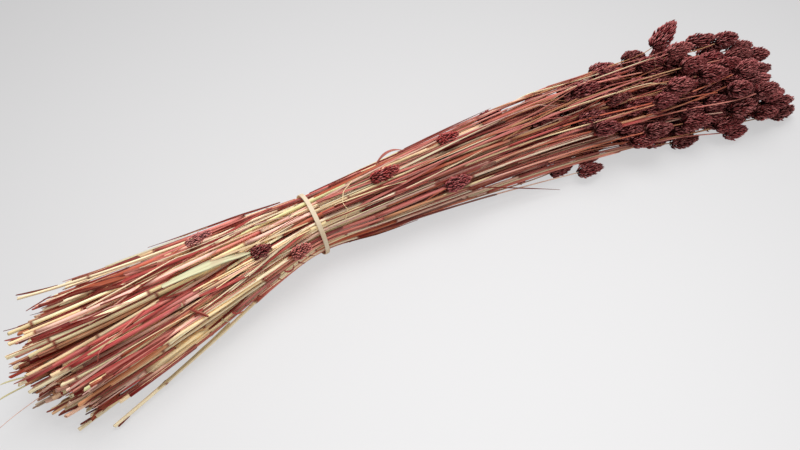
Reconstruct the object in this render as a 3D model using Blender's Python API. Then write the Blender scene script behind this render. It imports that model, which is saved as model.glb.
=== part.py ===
"""A tied bundle of dried, dyed canary grass lying on its side, modelled as closed solids in metres.

+X runs along the bundle from the cut ends to the seed heads, +Z is up and z = 0 is the surface it lies on.
Each stalk is one grown piece with its seed head, a tube whose radius follows the culm, the thin neck and
the head. A rubber band holds the stalks, and a few loose leaf blades, a twig and a curled fibre lie on them.
"""

import math

import bpy
import numpy as np

# ---- driving dimensions -------------------------------------------------------------------------------

SEED = 41
STALKS = 215                    # stalks in the whole bundle
OUTER_STALKS = 52               # the outermost of them, each a piece of its own
BAND_X = -0.1234                # the band's place along the bundle
BAND_Y = 0.0259                 # the band's place across it
BAND_SIDE = -0.0036             # the tied stalks' middle, sideways from there
BAND_YAW = math.radians(4.3)    # the band's turn from square across the bundle
HOLD_RADIUS = 0.0252            # the tied stalks' radius inside the band
BAND_WIDTH = 0.0038
BAND_THICKNESS = 0.0010
BAND_CLEARANCE = 0.0009         # the stalks already spread a little at the band's edges
HOLD_HEIGHT = HOLD_RADIUS + BAND_CLEARANCE + BAND_THICKNESS

CUT_END = -0.250                # the bundle's longest reach from the band to the cut ends
BEND_STEP = 0.050               # a stalk may bend every 50 mm
BENDS = CUT_END + BEND_STEP * np.arange(16)
PARTS_OF_STEP = 4               # distances between stalks are kept this many times between two bends
STATIONS = CUT_END + BEND_STEP / PARTS_OF_STEP * np.arange(15 * PARTS_OF_STEP + 1)

CULM_RADIUS = (0.00078, 0.00136)
CUT_AT = -0.229                 # where the stalks in the middle are cut, from the band
CUT_STRAY = 0.011
CUT_CURVE = 0.045               # how much shorter the stalks at either side are
TIP_AT = 0.485                  # the farthest tip of a seed head
TIP_SLOPE = 0.030               # the stalks on top end sooner
TIP_SPREAD = 0.170
LOW_HEADS = (0.22, 0.33)        # a few stalks are short, with tips here
LOW_HEAD_SHARE = 0.17
HEAD_LENGTH = (0.023, 0.033)
HEAD_RADIUS = (0.0060, 0.0078)
SMALL_HEADS = (0.20, 0.40)      # heads set apart at the first distance are smaller than at the second,
SMALL_HEAD_SHARE = 0.76         # by this share
FILL = 0.95                     # how much of the outline the stalks' middles take up
CROWDING = 0.38                 # how far the stalks move to the outside towards the heads
CUT_END_STRAY = 0.018           # how far a stalk wanders by its cut end, and by its head
HEAD_STRAY = 0.012
NECK_STRAY_LENGTH = 0.09

# the bundle's outline, measured from the band: distance, half width, half height, sideways shift
OUTLINE = np.array([
    (-0.25, 0.0565, 0.0260, -0.036),
    (-0.18, 0.0545, 0.0270, -0.0345),
    (-0.12, 0.0455, 0.0270, -0.0220),
    (-0.06, 0.0375, 0.0275, -0.0125),
    (0.00, HOLD_RADIUS, HOLD_RADIUS, BAND_SIDE),
    (0.05, 0.0295, 0.0255, -0.001),
    (0.10, 0.0295, 0.0245, 0.001),
    (0.16, 0.0310, 0.0270, 0.003),
    (0.22, 0.0340, 0.0290, 0.003),
    (0.28, 0.0325, 0.0290, 0.000),
    (0.34, 0.0350, 0.0290, -0.007),
    (0.40, 0.0340, 0.0235, -0.0230),
    (0.45, 0.0365, 0.0210, -0.0270),
    (0.50, 0.0380, 0.0210, -0.028),
])

# seed heads that lie apart from the mass: the middle of the head from the band, and how it rises and turns
HEADS_APART = (
    (0.461, -0.066, 0.008, 0.0, 0.0),
    (0.446, -0.054, 0.024, 0.0, 0.0),
    (0.444, -0.034, 0.034, 0.0, 0.0),
    (0.474, -0.012, 0.028, 0.0, 0.0),
    (0.455, 0.000, 0.036, 0.0, 0.0),
    (0.438, 0.008, 0.042, 0.1, 0.0),
    (0.435, -0.017, 0.045, 0.0, 0.0),
    (0.405, -0.067, 0.008, 0.0, 0.0),
    (0.396, -0.058, 0.020, 0.0, 0.0),
    (0.354, -0.055, 0.008, 0.0, 0.0),
    (0.358, -0.048, 0.030, 0.0, 0.0),
    (0.363, 0.016, 0.066, 2.8, 1.5),
    (0.342, 0.012, 0.062, 0.2, 0.0),
    (0.360, -0.002, 0.074, 0.6, -0.3),
    (0.384, -0.031, 0.056, 0.0, 0.0),
    (0.366, -0.017, 0.065, 0.1, 0.0),
    (0.335, 0.026, 0.058, 0.2, 0.0),
    (0.308, 0.025, 0.046, 0.1, 0.0),
    (0.329, -0.030, 0.060, 0.1, 0.0),
    (0.318, -0.046, 0.034, 0.0, 0.0),
    (0.289, -0.013, 0.058, 0.0, 0.0),
    (0.268, -0.030, 0.050, 0.0, 0.0),
    (0.256, -0.003, 0.054, 0.0, 0.0),
    (0.252, -0.045, 0.008, 0.0, 0.0),
    (0.230, -0.029, 0.012, 0.0, 0.0),
    (0.193, -0.026, 0.012, 0.0, 0.0),
    (0.230, 0.024, 0.048, 0.1, 0.0),
    (0.181, 0.026, 0.048, 0.1, 0.0),
)
ON_SURFACE = 0.02               # a head set lower than this lies level
STEEP_HEAD = (0.08, 0.04)       # the steeper a head rises, the less of the distance it takes, and the thicker

# cut ends that stick out of the fan: the end's place from the band, and another place on that stalk
ENDS_APART = (
    ((-0.2240, 0.0125, 0.048), (-0.184, 0.002, 0.052)),
    ((-0.1910, -0.0900, 0.003), (-0.140, -0.0735, 0.006)),
    ((-0.2000, -0.0800, 0.010), (-0.150, -0.068, 0.014)),
    ((-0.2150, -0.0800, 0.003), (-0.160, -0.063, 0.006)),
    ((-0.2400, -0.0280, 0.030), (-0.180, -0.030, 0.034)),
)

# radius along a culm as a share of its thickness, from the cut end to the neck, and along a seed head
CULM_PLACES = (0.0, 0.3, 0.6, 0.85, 1.0)
CULM_SHARES = (1.18, 1.0, 0.78, 0.52, 0.40)
HEAD_PLACES = (0.0, 0.12, 0.40, 0.75, 1.0)
HEAD_SHARES = (0.08, 0.62, 1.0, 0.78, 0.12)
CORE_SHARE = 0.82               # the solid head inside its loose spikelet tips

STALK_GAP = 0.0006              # kept between two outer stalks
INNER_GAP = -0.0003             # the rest may press into each other a little
SURFACE_GAP = 0.0001
REST_GAP = 0.0005               # kept under what lies loose on the stalks
CROSSING = 1.6                  # more room under a twig, which crosses the stalks on a slope
PULL = (0.05, 0.25, 0.03)       # how firmly a stalk is drawn to its place: anywhere, more in the band, within
STIFFNESS = 0.15
DRAW_STEPS, CALM_FROM, CLEAR_STEPS, INNER_STEPS = 200, 140, 400, 60
CLEARED = 0.0001                # overlaps left to the gap

LEAF_THICKNESS = 0.0004
LEAF_POINTS = 12
LEAF_TAPER = (0.55, 1.0, 0.85, 0.15)    # a blade's width from one end to the other

# loose pieces: colour, width of a blade or radius of a twig, and a route of x, y and least z from the band
BLADES = {
    "leaf_blade_broad": (
        "olive", 0.0052, ((-0.055, -0.0240, 0.0), (-0.090, -0.0262, 0.0), (-0.124, -0.0305, 0.0))),
    "leaf_blade_far": (
        "maroon", 0.0022, ((-0.018, 0.0205, 0.039), (-0.064, 0.0225, 0.038), (-0.127, 0.0275, 0.035))),
    "leaf_blade_near": (
        "maroon", 0.0015, ((0.122, -0.0300, 0.018), (0.172, -0.0380, 0.007), (0.218, -0.0486, 0.003))),
    "leaf_blade_arched": (
        "rose", 0.0028, ((0.068, 0.0175, 0.046), (0.080, 0.0185, 0.055), (0.096, 0.0210, 0.046))),
}
TWIGS = {
    "twig_loose": ("maroon", 0.0012, ((-0.112, -0.0500, 0.0), (-0.102, -0.0580, 0.0))),
    "straw_fibre": (
        "straw", 0.0004,
        ((0.040, 0.004, 0.0), (0.030, -0.002, 0.0), (0.025, -0.012, 0.0), (0.027, -0.018, 0.0),
         (0.022, -0.023, 0.0))),
}

BAND_POINTS = 32
RING_GAP = 0.003                # the least distance between two rings of a stalk

COLOURS = {
    "straw": (0.58, 0.42, 0.24),
    "olive": (0.44, 0.40, 0.20),
    "rose": (0.42, 0.16, 0.13),
    "brick": (0.34, 0.10, 0.05),
    "maroon": (0.12, 0.025, 0.022),
    "rubber": (0.80, 0.66, 0.48),
}


# ---- where the stalks run -----------------------------------------------------------------------------

def plan_stalks():
    """Draws each stalk's place in the tied round, from the outermost in, and its sizes."""
    rng = np.random.default_rng(SEED)
    inward = np.arange(STALKS)[::-1]
    rho = np.sqrt((inward + 0.5) / STALKS)
    turn = inward * math.pi * (3 - math.sqrt(5))
    across = rho * np.cos(turn)
    upward = rho * np.sin(turn)
    thick = rng.uniform(*CULM_RADIUS, STALKS)
    start = CUT_AT + CUT_STRAY * rng.uniform(-1, 1, STALKS) + CUT_CURVE * np.abs(across) ** 1.5
    tip = TIP_AT - TIP_SLOPE * (1 + upward) - TIP_SPREAD * rng.uniform(0, 1, STALKS) ** 1.2
    low_head = rng.uniform(0, 1, STALKS) < LOW_HEAD_SHARE
    tip = np.where(low_head, rng.uniform(*LOW_HEADS, STALKS), tip)
    head_length = rng.uniform(*HEAD_LENGTH, STALKS)
    head_radius = rng.uniform(*HEAD_RADIUS, STALKS)
    angle = rng.uniform(0, 2 * math.pi, (3, STALKS))
    reach = np.sqrt(rng.uniform(0, 1, (3, STALKS)))
    stray = np.stack([reach * np.cos(angle), reach * np.sin(angle)])
    return {"rho": rho, "across": across, "upward": upward, "thick": thick, "start": start, "tip": tip,
            "head_length": head_length, "head_radius": head_radius, "stray": stray}


def outline_at(x):
    """Half width, half height and sideways shift of the bundle at distance x from the band."""
    return [np.interp(x, OUTLINE[:, 0], OUTLINE[:, k]) for k in (1, 2, 3)]


def nearest_stalk(plan, place, free):
    """The free stalk whose place in the round comes nearest to the given x, y and z."""
    half, tall, shift = outline_at(place[0])
    across = plan["across"] - (place[1] - shift) / half
    upward = plan["upward"] - (place[2] - tall) / tall
    miss = across ** 2 + upward ** 2
    return int(np.argmin(np.where(free, miss, np.inf)))


def aim_stalks(plan):
    """Spreads the tied round over the outline at every bend, and lets each stalk wander by its ends.

    Returns the wanted y and z, an array of 2 by bends by stalks.
    """
    half, tall, shift = [value[:, None] for value in outline_at(BENDS)]
    lift = (HOLD_HEIGHT - HOLD_RADIUS) * np.clip(1 - np.abs(BENDS / CUT_END), 0, 1)[:, None]
    outward = plan["rho"] ** (np.interp(BENDS, [0.0, 0.35], [0.0, -CROWDING])[:, None])
    y = shift + FILL * half * plan["across"] * outward
    z = lift + tall + FILL * tall * plan["upward"] * outward
    stray = plan["stray"][:, :, None]
    to_cut_end = np.clip(BENDS / CUT_END, 0, 1)[:, None]
    to_heads = np.clip(BENDS / 0.45, 0, 1)[:, None] ** 1.5
    at_neck = np.clip(1 - (plan["tip"] - BENDS[:, None]) / NECK_STRAY_LENGTH, 0, 1.4) ** 2
    by_heads = HEAD_STRAY * (to_heads * stray[:, 1] + at_neck * stray[:, 2])
    return np.stack([y, z]) + CUT_END_STRAY * to_cut_end * stray[:, 0] + by_heads


def send_ends_apart(plan, aim):
    """Draws one outer stalk to each cut end that sticks out, straight over its last stretch."""
    free = np.arange(STALKS) < OUTER_STALKS
    for end, near in ENDS_APART:
        i = nearest_stalk(plan, near, free)
        free[i] = False
        plan["start"][i] = end[0]
        blend = np.clip(BENDS / near[0], 0, 1) ** 1.2
        beyond = BENDS < near[0]
        part = (BENDS[beyond] - near[0]) / (end[0] - near[0])
        for k in (0, 1):
            aim[k, :, i] += blend * (near[k + 1] - np.interp(near[0], BENDS, aim[k, :, i]))
            aim[k, beyond, i] = near[k + 1] + part * (end[k + 1] - near[k + 1])


def send_heads_apart(plan, aim):
    """Draws one outer stalk to each seed head that lies apart, level on the surface or at its own slope."""
    free = np.arange(STALKS) < OUTER_STALKS
    for x, head_y, head_z, rise, sideways in HEADS_APART:
        i = nearest_stalk(plan, (x, head_y, head_z), free)
        free[i] = False
        size = np.interp(x, SMALL_HEADS, (SMALL_HEAD_SHARE, 1.0))
        plan["head_length"][i] *= size / (1 + STEEP_HEAD[0] * rise)
        plan["head_radius"][i] *= size * (1 + STEEP_HEAD[1] * rise)
        plan["tip"][i] = x + 0.5 * plan["head_length"][i]
        blend = np.clip(BENDS / x, 0, 1) ** (1.5 + rise)
        aim[0, :, i] += blend * (head_y - np.interp(x, BENDS, aim[0, :, i]))
        aim[1, :, i] += blend * (head_z - np.interp(x, BENDS, aim[1, :, i]))
        k = int(np.searchsorted(BENDS, x))
        if rise:
            aim[0, k - 1:k + 1, i] = head_y + sideways * (BENDS[k - 1:k + 1] - x)
            aim[1, k - 1:k + 1, i] = head_z + rise * (BENDS[k - 1:k + 1] - x)
        elif head_z < ON_SURFACE:
            aim[0, k - 1:k + 1, i] = head_y
            aim[1, k - 1:k + 1, i] = head_z


def stalk_radii(plan, x):
    """Radius of every stalk at the distances x, and zero past its ends: distances by stalks."""
    x = np.asarray(x)[:, None]
    neck = plan["tip"] - plan["head_length"]
    along = (x - plan["start"]) / (neck - plan["start"])
    culm = plan["thick"] * np.interp(along, CULM_PLACES, CULM_SHARES)
    swell = np.interp((x - neck) / plan["head_length"], HEAD_PLACES, HEAD_SHARES)
    head = CORE_SHARE * plan["head_radius"] * swell
    inside = (x >= plan["start"]) & (x <= plan["tip"])
    return np.where(inside, np.where(x < neck, culm, head), 0.0)


def at_stations(bends):
    """Straight runs between the bends, read at every station."""
    span = np.minimum(np.arange(len(STATIONS)) // PARTS_OF_STEP, len(BENDS) - 2)
    part = (np.arange(len(STATIONS)) / PARTS_OF_STEP - span)[:, None]
    return bends[:, span] * (1 - part) + bends[:, span + 1] * part


def to_bends(moves):
    """Hands what is wanted at each station to the bends on either side, by nearness."""
    total = np.zeros(moves.shape[:-2] + (len(BENDS), STALKS))
    for k in range(PARTS_OF_STEP):
        part = k / PARTS_OF_STEP
        total[..., :-1, :] += (1 - part) * moves[..., k:-1:PARTS_OF_STEP, :]
        total[..., 1:, :] += part * moves[..., k:-1:PARTS_OF_STEP, :]
    total[..., -1, :] += moves[..., -1, :]
    return total


def near_pairs(bends, need, margin=0.004):
    """Every station and pair of stalks there that are close enough to touch soon."""
    place = at_stations(bends)
    apart = place[:, :, :, None] - place[:, :, None, :]
    close = (apart[0] ** 2 + apart[1] ** 2 < (need + margin) ** 2) & (need > 0)
    return np.nonzero(close & (np.arange(STALKS)[:, None] < np.arange(STALKS)))


def press_apart(bends, pairs, need, wide, strength):
    """Moves overlapping stalks apart, up off the surface and in under the band. Returns the worst overlap."""
    at, i, j = pairs
    place = at_stations(bends)
    apart = place[:, at, i] - place[:, at, j]
    distance = np.sqrt(apart[0] ** 2 + apart[1] ** 2) + 1e-9
    overlap = np.clip(need[at, i, j] - distance, 0, None)
    push = 0.5 * apart * overlap / distance
    hit = (overlap > 0).astype(float)
    size = len(STATIONS) * STALKS
    one = at * STALKS + i
    other = at * STALKS + j
    moves = np.stack([np.bincount(one, push[k], size) - np.bincount(other, push[k], size) for k in (0, 1)])
    moves = moves.reshape(2, -1, STALKS)
    hits = (np.bincount(one, hit, size) + np.bincount(other, hit, size)).reshape(-1, STALKS)
    sunk = np.clip(wide + SURFACE_GAP - place[1], 0, None)
    moves[1] += sunk
    hits += sunk > 0
    tied = len(BENDS[BENDS < -0.001]) * PARTS_OF_STEP
    for k, slack in ((tied - 1, 0.002), (tied, 0.0), (tied + 1, 0.0025)):
        out = place[:, k] - np.array([[BAND_SIDE], [HOLD_HEIGHT]])
        far = np.sqrt(out[0] ** 2 + out[1] ** 2) + 1e-9
        outside = np.clip(far + wide[k] - HOLD_RADIUS - slack, 0, None)
        moves[:, k] -= out / far * outside
        hits[k] += outside > 0
    bends += strength * to_bends(moves) / np.maximum(to_bends(hits), 0.7)
    return float(overlap.max(initial=0.0))


def settle_stalks(plan):
    """Draws the stalks to their places while they press each other apart, then clears the outer ones.

    Returns y and z at the bends, 2 by bends by stalks, measured from the band.
    """
    aim = aim_stalks(plan)
    send_ends_apart(plan, aim)
    send_heads_apart(plan, aim)
    half_step = 0.5 * BEND_STEP / PARTS_OF_STEP
    wide = np.max([stalk_radii(plan, STATIONS + d) for d in np.linspace(-half_step, half_step, 5)], axis=0)
    outer = np.arange(STALKS) < OUTER_STALKS
    gap = np.where(outer[:, None] & outer, STALK_GAP, INNER_GAP)
    need = wide[:, :, None] + wide[:, None, :] + gap
    need[(wide[:, :, None] == 0) | (wide[:, None, :] == 0)] = 0
    bends = aim.copy()
    anywhere, tied, within = PULL
    pull = anywhere + tied * np.exp(-(BENDS / within) ** 2)[:, None]
    for step in range(DRAW_STEPS):
        if step % 10 == 0:
            pairs = near_pairs(bends, need)
        ease = 1.0 if step < CALM_FROM else 0.15
        bends += ease * min(1.0, 0.3 + step / 100) * pull * (aim - bends)
        bends[:, 1:-1] += ease * STIFFNESS * (0.5 * (bends[:, :-2] + bends[:, 2:]) - bends[:, 1:-1])
        press_apart(bends, pairs, need, wide, 1.2)
        bends = np.round(bends, 8)
    for step in range(CLEAR_STEPS):
        if step % 10 == 0:
            pairs = near_pairs(bends, need)
            pairs = [index[pairs[2] < OUTER_STALKS] for index in pairs]
        if press_apart(bends, pairs, need, wide, 1.0) < CLEARED:
            break
        bends = np.round(bends, 8)
    cleared = bends[:, :, outer].copy()
    for step in range(INNER_STEPS):
        if step % 10 == 0:
            pairs = near_pairs(bends, need)
        press_apart(bends, pairs, need, wide, 1.0)
        bends[:, :, outer] = cleared
        bends = np.round(bends, 8)
    return bends


def top_of_stalks(plan, bends, x, y, reach):
    """Height that the middle of a strand of radius reach lies at on the stalks, at each x and y."""
    radius = stalk_radii(plan, x)
    side = np.stack([np.interp(x, BENDS, bends[0, :, i]) for i in range(STALKS)], axis=1) - y[:, None]
    level = np.stack([np.interp(x, BENDS, bends[1, :, i]) for i in range(STALKS)], axis=1)
    arm = radius + reach
    under = (radius > 0) & (np.abs(side) < arm)
    top = level + np.sqrt(np.clip(arm ** 2 - side ** 2, 0, None))
    return np.max(np.where(under, top, reach), axis=1)


def route_points(route, count):
    """Points evenly spaced along a short route: a quadratic through three points, or straight runs."""
    route = np.array(route)
    knots = np.linspace(0, 1, len(route))
    spread = np.linspace(0, 1, count)
    if len(route) == 3:
        weights = [(1 - spread) * (1 - 2 * spread), 4 * spread * (1 - spread), spread * (2 * spread - 1)]
        return sum(weight[:, None] * point for weight, point in zip(weights, route))
    return np.stack([np.interp(spread, knots, route[:, k]) for k in range(3)], axis=1)


def lay_on_stalks(plan, bends, points, reach, half_width=0.0):
    """Lifts points that lie lower than the stalks allow, and holds them taut between those they touch."""
    across = np.linspace(-half_width, half_width, 5)
    room = reach + REST_GAP
    least = [top_of_stalks(plan, bends, points[:, 0], points[:, 1] + side, room) for side in across]
    least = np.maximum(np.max(least, axis=0), points[:, 2])
    height = least.copy()
    for _ in range(40):
        height[1:-1] = np.maximum(least[1:-1], 0.5 * (height[:-2] + height[2:]))
    return np.stack([points[:, 0], points[:, 1], height], axis=1)


# ---- solids -------------------------------------------------------------------------------------------

def clear_scene():
    for thing in list(bpy.data.objects):
        bpy.data.objects.remove(thing)


def plain_material(name, colour, roughness):
    material = bpy.data.materials.new(name)
    material.use_nodes = True
    shader = material.node_tree.nodes["Principled BSDF"]
    shader.inputs["Base Color"].default_value = (*colour, 1.0)
    shader.inputs["Roughness"].default_value = roughness
    shader.inputs["Metallic"].default_value = 0.0
    return material


def swept_solid(name, points, radii, parent, material, width=0.0):
    """Carries a six-sided tube, or a flat strip of the given width, along the points.

    The radii scale it at each point, as lengths for a tube and as shares for a strip.
    """
    curve = bpy.data.curves.new(name, "CURVE")
    curve.dimensions = "3D"
    curve.use_fill_caps = True
    if width:
        curve.twist_mode = "Z_UP"
        curve.extrude = 0.5 * (width - LEAF_THICKNESS)
        curve.bevel_depth = 0.5 * LEAF_THICKNESS
        curve.bevel_resolution = 0
    else:
        curve.bevel_depth = float(np.max(radii))
        curve.bevel_resolution = 1
        radii = radii / np.max(radii)
    spline = curve.splines.new("POLY")
    spline.points.add(len(points) - 1)
    for end, place, radius in zip(spline.points, points - points[0], radii):
        end.co = (*place, 1.0)
        end.radius = radius
        end.tilt = 0.5 * math.pi if width else 0.0
    curve.materials.append(material)
    solid = bpy.data.objects.new(name, curve)
    solid.location = points[0]
    solid.parent = parent
    bpy.context.collection.objects.link(solid)


def make_stalks(plan, bends, parent):
    """One tube for each outer stalk: a ring at each bend of the culm and at each step of the seed head."""
    shades = [COLOURS[name] for name in ("straw", "rose", "brick", "rose", "olive", "maroon", "straw")]
    for i in range(OUTER_STALKS):
        start, tip = plan["start"][i], plan["tip"][i]
        neck = tip - plan["head_length"][i]
        head = neck + plan["head_length"][i] * np.array(HEAD_PLACES)
        middle = BENDS[(BENDS > start + RING_GAP) & (BENDS < tip)]
        middle = [x for x in middle if np.min(np.abs(head - x)) > RING_GAP]
        x = np.minimum(np.sort(np.concatenate([[start], middle, head])), tip)
        y, z = [np.interp(x, BENDS, bends[k, :, i]) for k in (0, 1)]
        name = f"stalk_{i + 1:02d}"
        material = plain_material(name, shades[i % len(shades)], 0.6)
        swept_solid(name, np.stack([x, y, z], axis=1), stalk_radii(plan, x)[:, i], parent, material)


def make_band(parent):
    """A flat ring round the stalks, its axis nearly along the bundle."""
    curve = bpy.data.curves.new("rubber_band", "CURVE")
    curve.dimensions = "3D"
    curve.extrude = 0.5 * (BAND_WIDTH - BAND_THICKNESS)
    curve.bevel_depth = 0.5 * BAND_THICKNESS
    curve.bevel_resolution = 1
    spline = curve.splines.new("POLY")
    spline.points.add(BAND_POINTS - 1)
    spline.use_cyclic_u = True
    radius = HOLD_HEIGHT - 0.5 * BAND_THICKNESS
    for k, point in enumerate(spline.points):
        turn = 2 * math.pi * k / BAND_POINTS
        point.co = (radius * math.cos(turn), radius * math.sin(turn), 0.0, 1.0)
    curve.materials.append(plain_material("rubber_band", COLOURS["rubber"], 0.7))
    band = bpy.data.objects.new("rubber_band", curve)
    band.location = (0.0, BAND_SIDE, HOLD_HEIGHT)
    band.rotation_euler = (0.0, 0.5 * math.pi, BAND_YAW)
    band.parent = parent
    bpy.context.collection.objects.link(band)


def make_loose_pieces(plan, bends, parent):
    """Leaf blades that taper to a tip, a short twig and a curled straw fibre, all lying on the stalks."""
    for name, (colour, width, route) in BLADES.items():
        points = route_points(route, LEAF_POINTS)
        points = lay_on_stalks(plan, bends, points, 0.5 * LEAF_THICKNESS, 0.5 * width)
        taper = np.interp(np.linspace(0, 1, LEAF_POINTS), np.linspace(0, 1, len(LEAF_TAPER)), LEAF_TAPER)
        swept_solid(name, points, taper, parent, plain_material(name, COLOURS[colour], 0.7), width)
    for name, (colour, radius, route) in TWIGS.items():
        points = lay_on_stalks(plan, bends, route_points(route, LEAF_POINTS), CROSSING * radius)
        material = plain_material(name, COLOURS[colour], 0.7)
        swept_solid(name, points, np.full(LEAF_POINTS, radius), parent, material)


def make_bundle():
    clear_scene()
    bundle = bpy.data.objects.new("bundle", None)
    bundle.location = (BAND_X, BAND_Y, 0.0)
    bpy.context.collection.objects.link(bundle)
    plan = plan_stalks()
    bends = settle_stalks(plan)
    make_stalks(plan, bends, bundle)
    make_band(bundle)
    make_loose_pieces(plan, bends, bundle)


make_bundle()
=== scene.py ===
"""Looks of a tied bundle of dried, dyed canary grass that lies on a pale surface, in metres.

The stalks are laid out again by the rules that the solid model follows, then each one is dressed: a jointed
culm with a hollow cut end, dyed leaf sheaths with torn ends, and a seed head of pointed, keeled spikelets.
"""

import math

import bpy
import numpy as np
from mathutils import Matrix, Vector


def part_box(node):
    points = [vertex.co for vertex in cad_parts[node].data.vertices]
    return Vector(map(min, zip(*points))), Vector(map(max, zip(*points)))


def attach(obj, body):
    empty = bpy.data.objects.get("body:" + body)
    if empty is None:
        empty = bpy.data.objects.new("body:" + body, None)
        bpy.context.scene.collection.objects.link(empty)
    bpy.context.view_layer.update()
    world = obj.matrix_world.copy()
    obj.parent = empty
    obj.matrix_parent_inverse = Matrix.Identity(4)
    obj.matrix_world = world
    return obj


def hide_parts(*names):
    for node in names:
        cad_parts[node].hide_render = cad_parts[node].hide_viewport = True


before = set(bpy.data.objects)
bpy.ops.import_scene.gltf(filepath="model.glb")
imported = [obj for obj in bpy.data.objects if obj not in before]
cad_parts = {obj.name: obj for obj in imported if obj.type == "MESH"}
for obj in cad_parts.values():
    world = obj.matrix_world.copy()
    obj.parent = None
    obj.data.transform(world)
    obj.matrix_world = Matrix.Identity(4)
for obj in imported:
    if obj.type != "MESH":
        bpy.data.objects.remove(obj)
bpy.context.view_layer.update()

# ---- the bundle's layout ------------------------------------------------------------------------------

SEED = 41
STALKS = 215                    # stalks in the whole bundle
OUTER_STALKS = 52               # the outermost of them, each a piece of its own
BAND_X = -0.1234                # the band's place along the bundle
BAND_Y = 0.0259                 # the band's place across it
BAND_SIDE = -0.0036             # the tied stalks' middle, sideways from there
BAND_YAW = math.radians(4.3)    # the band's turn from square across the bundle
HOLD_RADIUS = 0.0252            # the tied stalks' radius inside the band
BAND_WIDTH = 0.0038
BAND_THICKNESS = 0.0010
BAND_CLEARANCE = 0.0009         # the stalks already spread a little at the band's edges
HOLD_HEIGHT = HOLD_RADIUS + BAND_CLEARANCE + BAND_THICKNESS

CUT_END = -0.250                # the bundle's longest reach from the band to the cut ends
BEND_STEP = 0.050               # a stalk may bend every 50 mm
BENDS = CUT_END + BEND_STEP * np.arange(16)
PARTS_OF_STEP = 4               # distances between stalks are kept this many times between two bends
STATIONS = CUT_END + BEND_STEP / PARTS_OF_STEP * np.arange(15 * PARTS_OF_STEP + 1)

CULM_RADIUS = (0.00078, 0.00136)
CUT_AT = -0.229                 # where the stalks in the middle are cut, from the band
CUT_STRAY = 0.011
CUT_CURVE = 0.045               # how much shorter the stalks at either side are
TIP_AT = 0.485                  # the farthest tip of a seed head
TIP_SLOPE = 0.030               # the stalks on top end sooner
TIP_SPREAD = 0.170
LOW_HEADS = (0.22, 0.33)        # a few stalks are short, with tips here
LOW_HEAD_SHARE = 0.17
HEAD_LENGTH = (0.023, 0.033)
HEAD_RADIUS = (0.0060, 0.0078)
SMALL_HEADS = (0.20, 0.40)      # heads set apart at the first distance are smaller than at the second,
SMALL_HEAD_SHARE = 0.76         # by this share
FILL = 0.95                     # how much of the outline the stalks' middles take up
CROWDING = 0.38                 # how far the stalks move to the outside towards the heads
CUT_END_STRAY = 0.018           # how far a stalk wanders by its cut end, and by its head
HEAD_STRAY = 0.012
NECK_STRAY_LENGTH = 0.09

# the bundle's outline, measured from the band: distance, half width, half height, sideways shift
OUTLINE = np.array([
    (-0.25, 0.0565, 0.0260, -0.036),
    (-0.18, 0.0545, 0.0270, -0.0345),
    (-0.12, 0.0455, 0.0270, -0.0220),
    (-0.06, 0.0375, 0.0275, -0.0125),
    (0.00, HOLD_RADIUS, HOLD_RADIUS, BAND_SIDE),
    (0.05, 0.0295, 0.0255, -0.001),
    (0.10, 0.0295, 0.0245, 0.001),
    (0.16, 0.0310, 0.0270, 0.003),
    (0.22, 0.0340, 0.0290, 0.003),
    (0.28, 0.0325, 0.0290, 0.000),
    (0.34, 0.0350, 0.0290, -0.007),
    (0.40, 0.0340, 0.0235, -0.0230),
    (0.45, 0.0365, 0.0210, -0.0270),
    (0.50, 0.0380, 0.0210, -0.028),
])

# seed heads that lie apart from the mass: the middle of the head from the band, and how it rises and turns
HEADS_APART = (
    (0.461, -0.066, 0.008, 0.0, 0.0),
    (0.446, -0.054, 0.024, 0.0, 0.0),
    (0.444, -0.034, 0.034, 0.0, 0.0),
    (0.474, -0.012, 0.028, 0.0, 0.0),
    (0.455, 0.000, 0.036, 0.0, 0.0),
    (0.438, 0.008, 0.042, 0.1, 0.0),
    (0.435, -0.017, 0.045, 0.0, 0.0),
    (0.405, -0.067, 0.008, 0.0, 0.0),
    (0.396, -0.058, 0.020, 0.0, 0.0),
    (0.354, -0.055, 0.008, 0.0, 0.0),
    (0.358, -0.048, 0.030, 0.0, 0.0),
    (0.363, 0.016, 0.066, 2.8, 1.5),
    (0.342, 0.012, 0.062, 0.2, 0.0),
    (0.360, -0.002, 0.074, 0.6, -0.3),
    (0.384, -0.031, 0.056, 0.0, 0.0),
    (0.366, -0.017, 0.065, 0.1, 0.0),
    (0.335, 0.026, 0.058, 0.2, 0.0),
    (0.308, 0.025, 0.046, 0.1, 0.0),
    (0.329, -0.030, 0.060, 0.1, 0.0),
    (0.318, -0.046, 0.034, 0.0, 0.0),
    (0.289, -0.013, 0.058, 0.0, 0.0),
    (0.268, -0.030, 0.050, 0.0, 0.0),
    (0.256, -0.003, 0.054, 0.0, 0.0),
    (0.252, -0.045, 0.008, 0.0, 0.0),
    (0.230, -0.029, 0.012, 0.0, 0.0),
    (0.193, -0.026, 0.012, 0.0, 0.0),
    (0.230, 0.024, 0.048, 0.1, 0.0),
    (0.181, 0.026, 0.048, 0.1, 0.0),
)
ON_SURFACE = 0.02               # a head set lower than this lies level
# the steeper a head rises, the less of the distance it takes, and the thicker it is
STEEP_HEAD = (0.08, 0.04)

# cut ends that stick out of the fan: the end's place from the band, and another place on that stalk
ENDS_APART = (
    ((-0.2240, 0.0125, 0.048), (-0.184, 0.002, 0.052)),
    ((-0.1910, -0.0900, 0.003), (-0.140, -0.0735, 0.006)),
    ((-0.2000, -0.0800, 0.010), (-0.150, -0.068, 0.014)),
    ((-0.2150, -0.0800, 0.003), (-0.160, -0.063, 0.006)),
    ((-0.2400, -0.0280, 0.030), (-0.180, -0.030, 0.034)),
)

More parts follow.
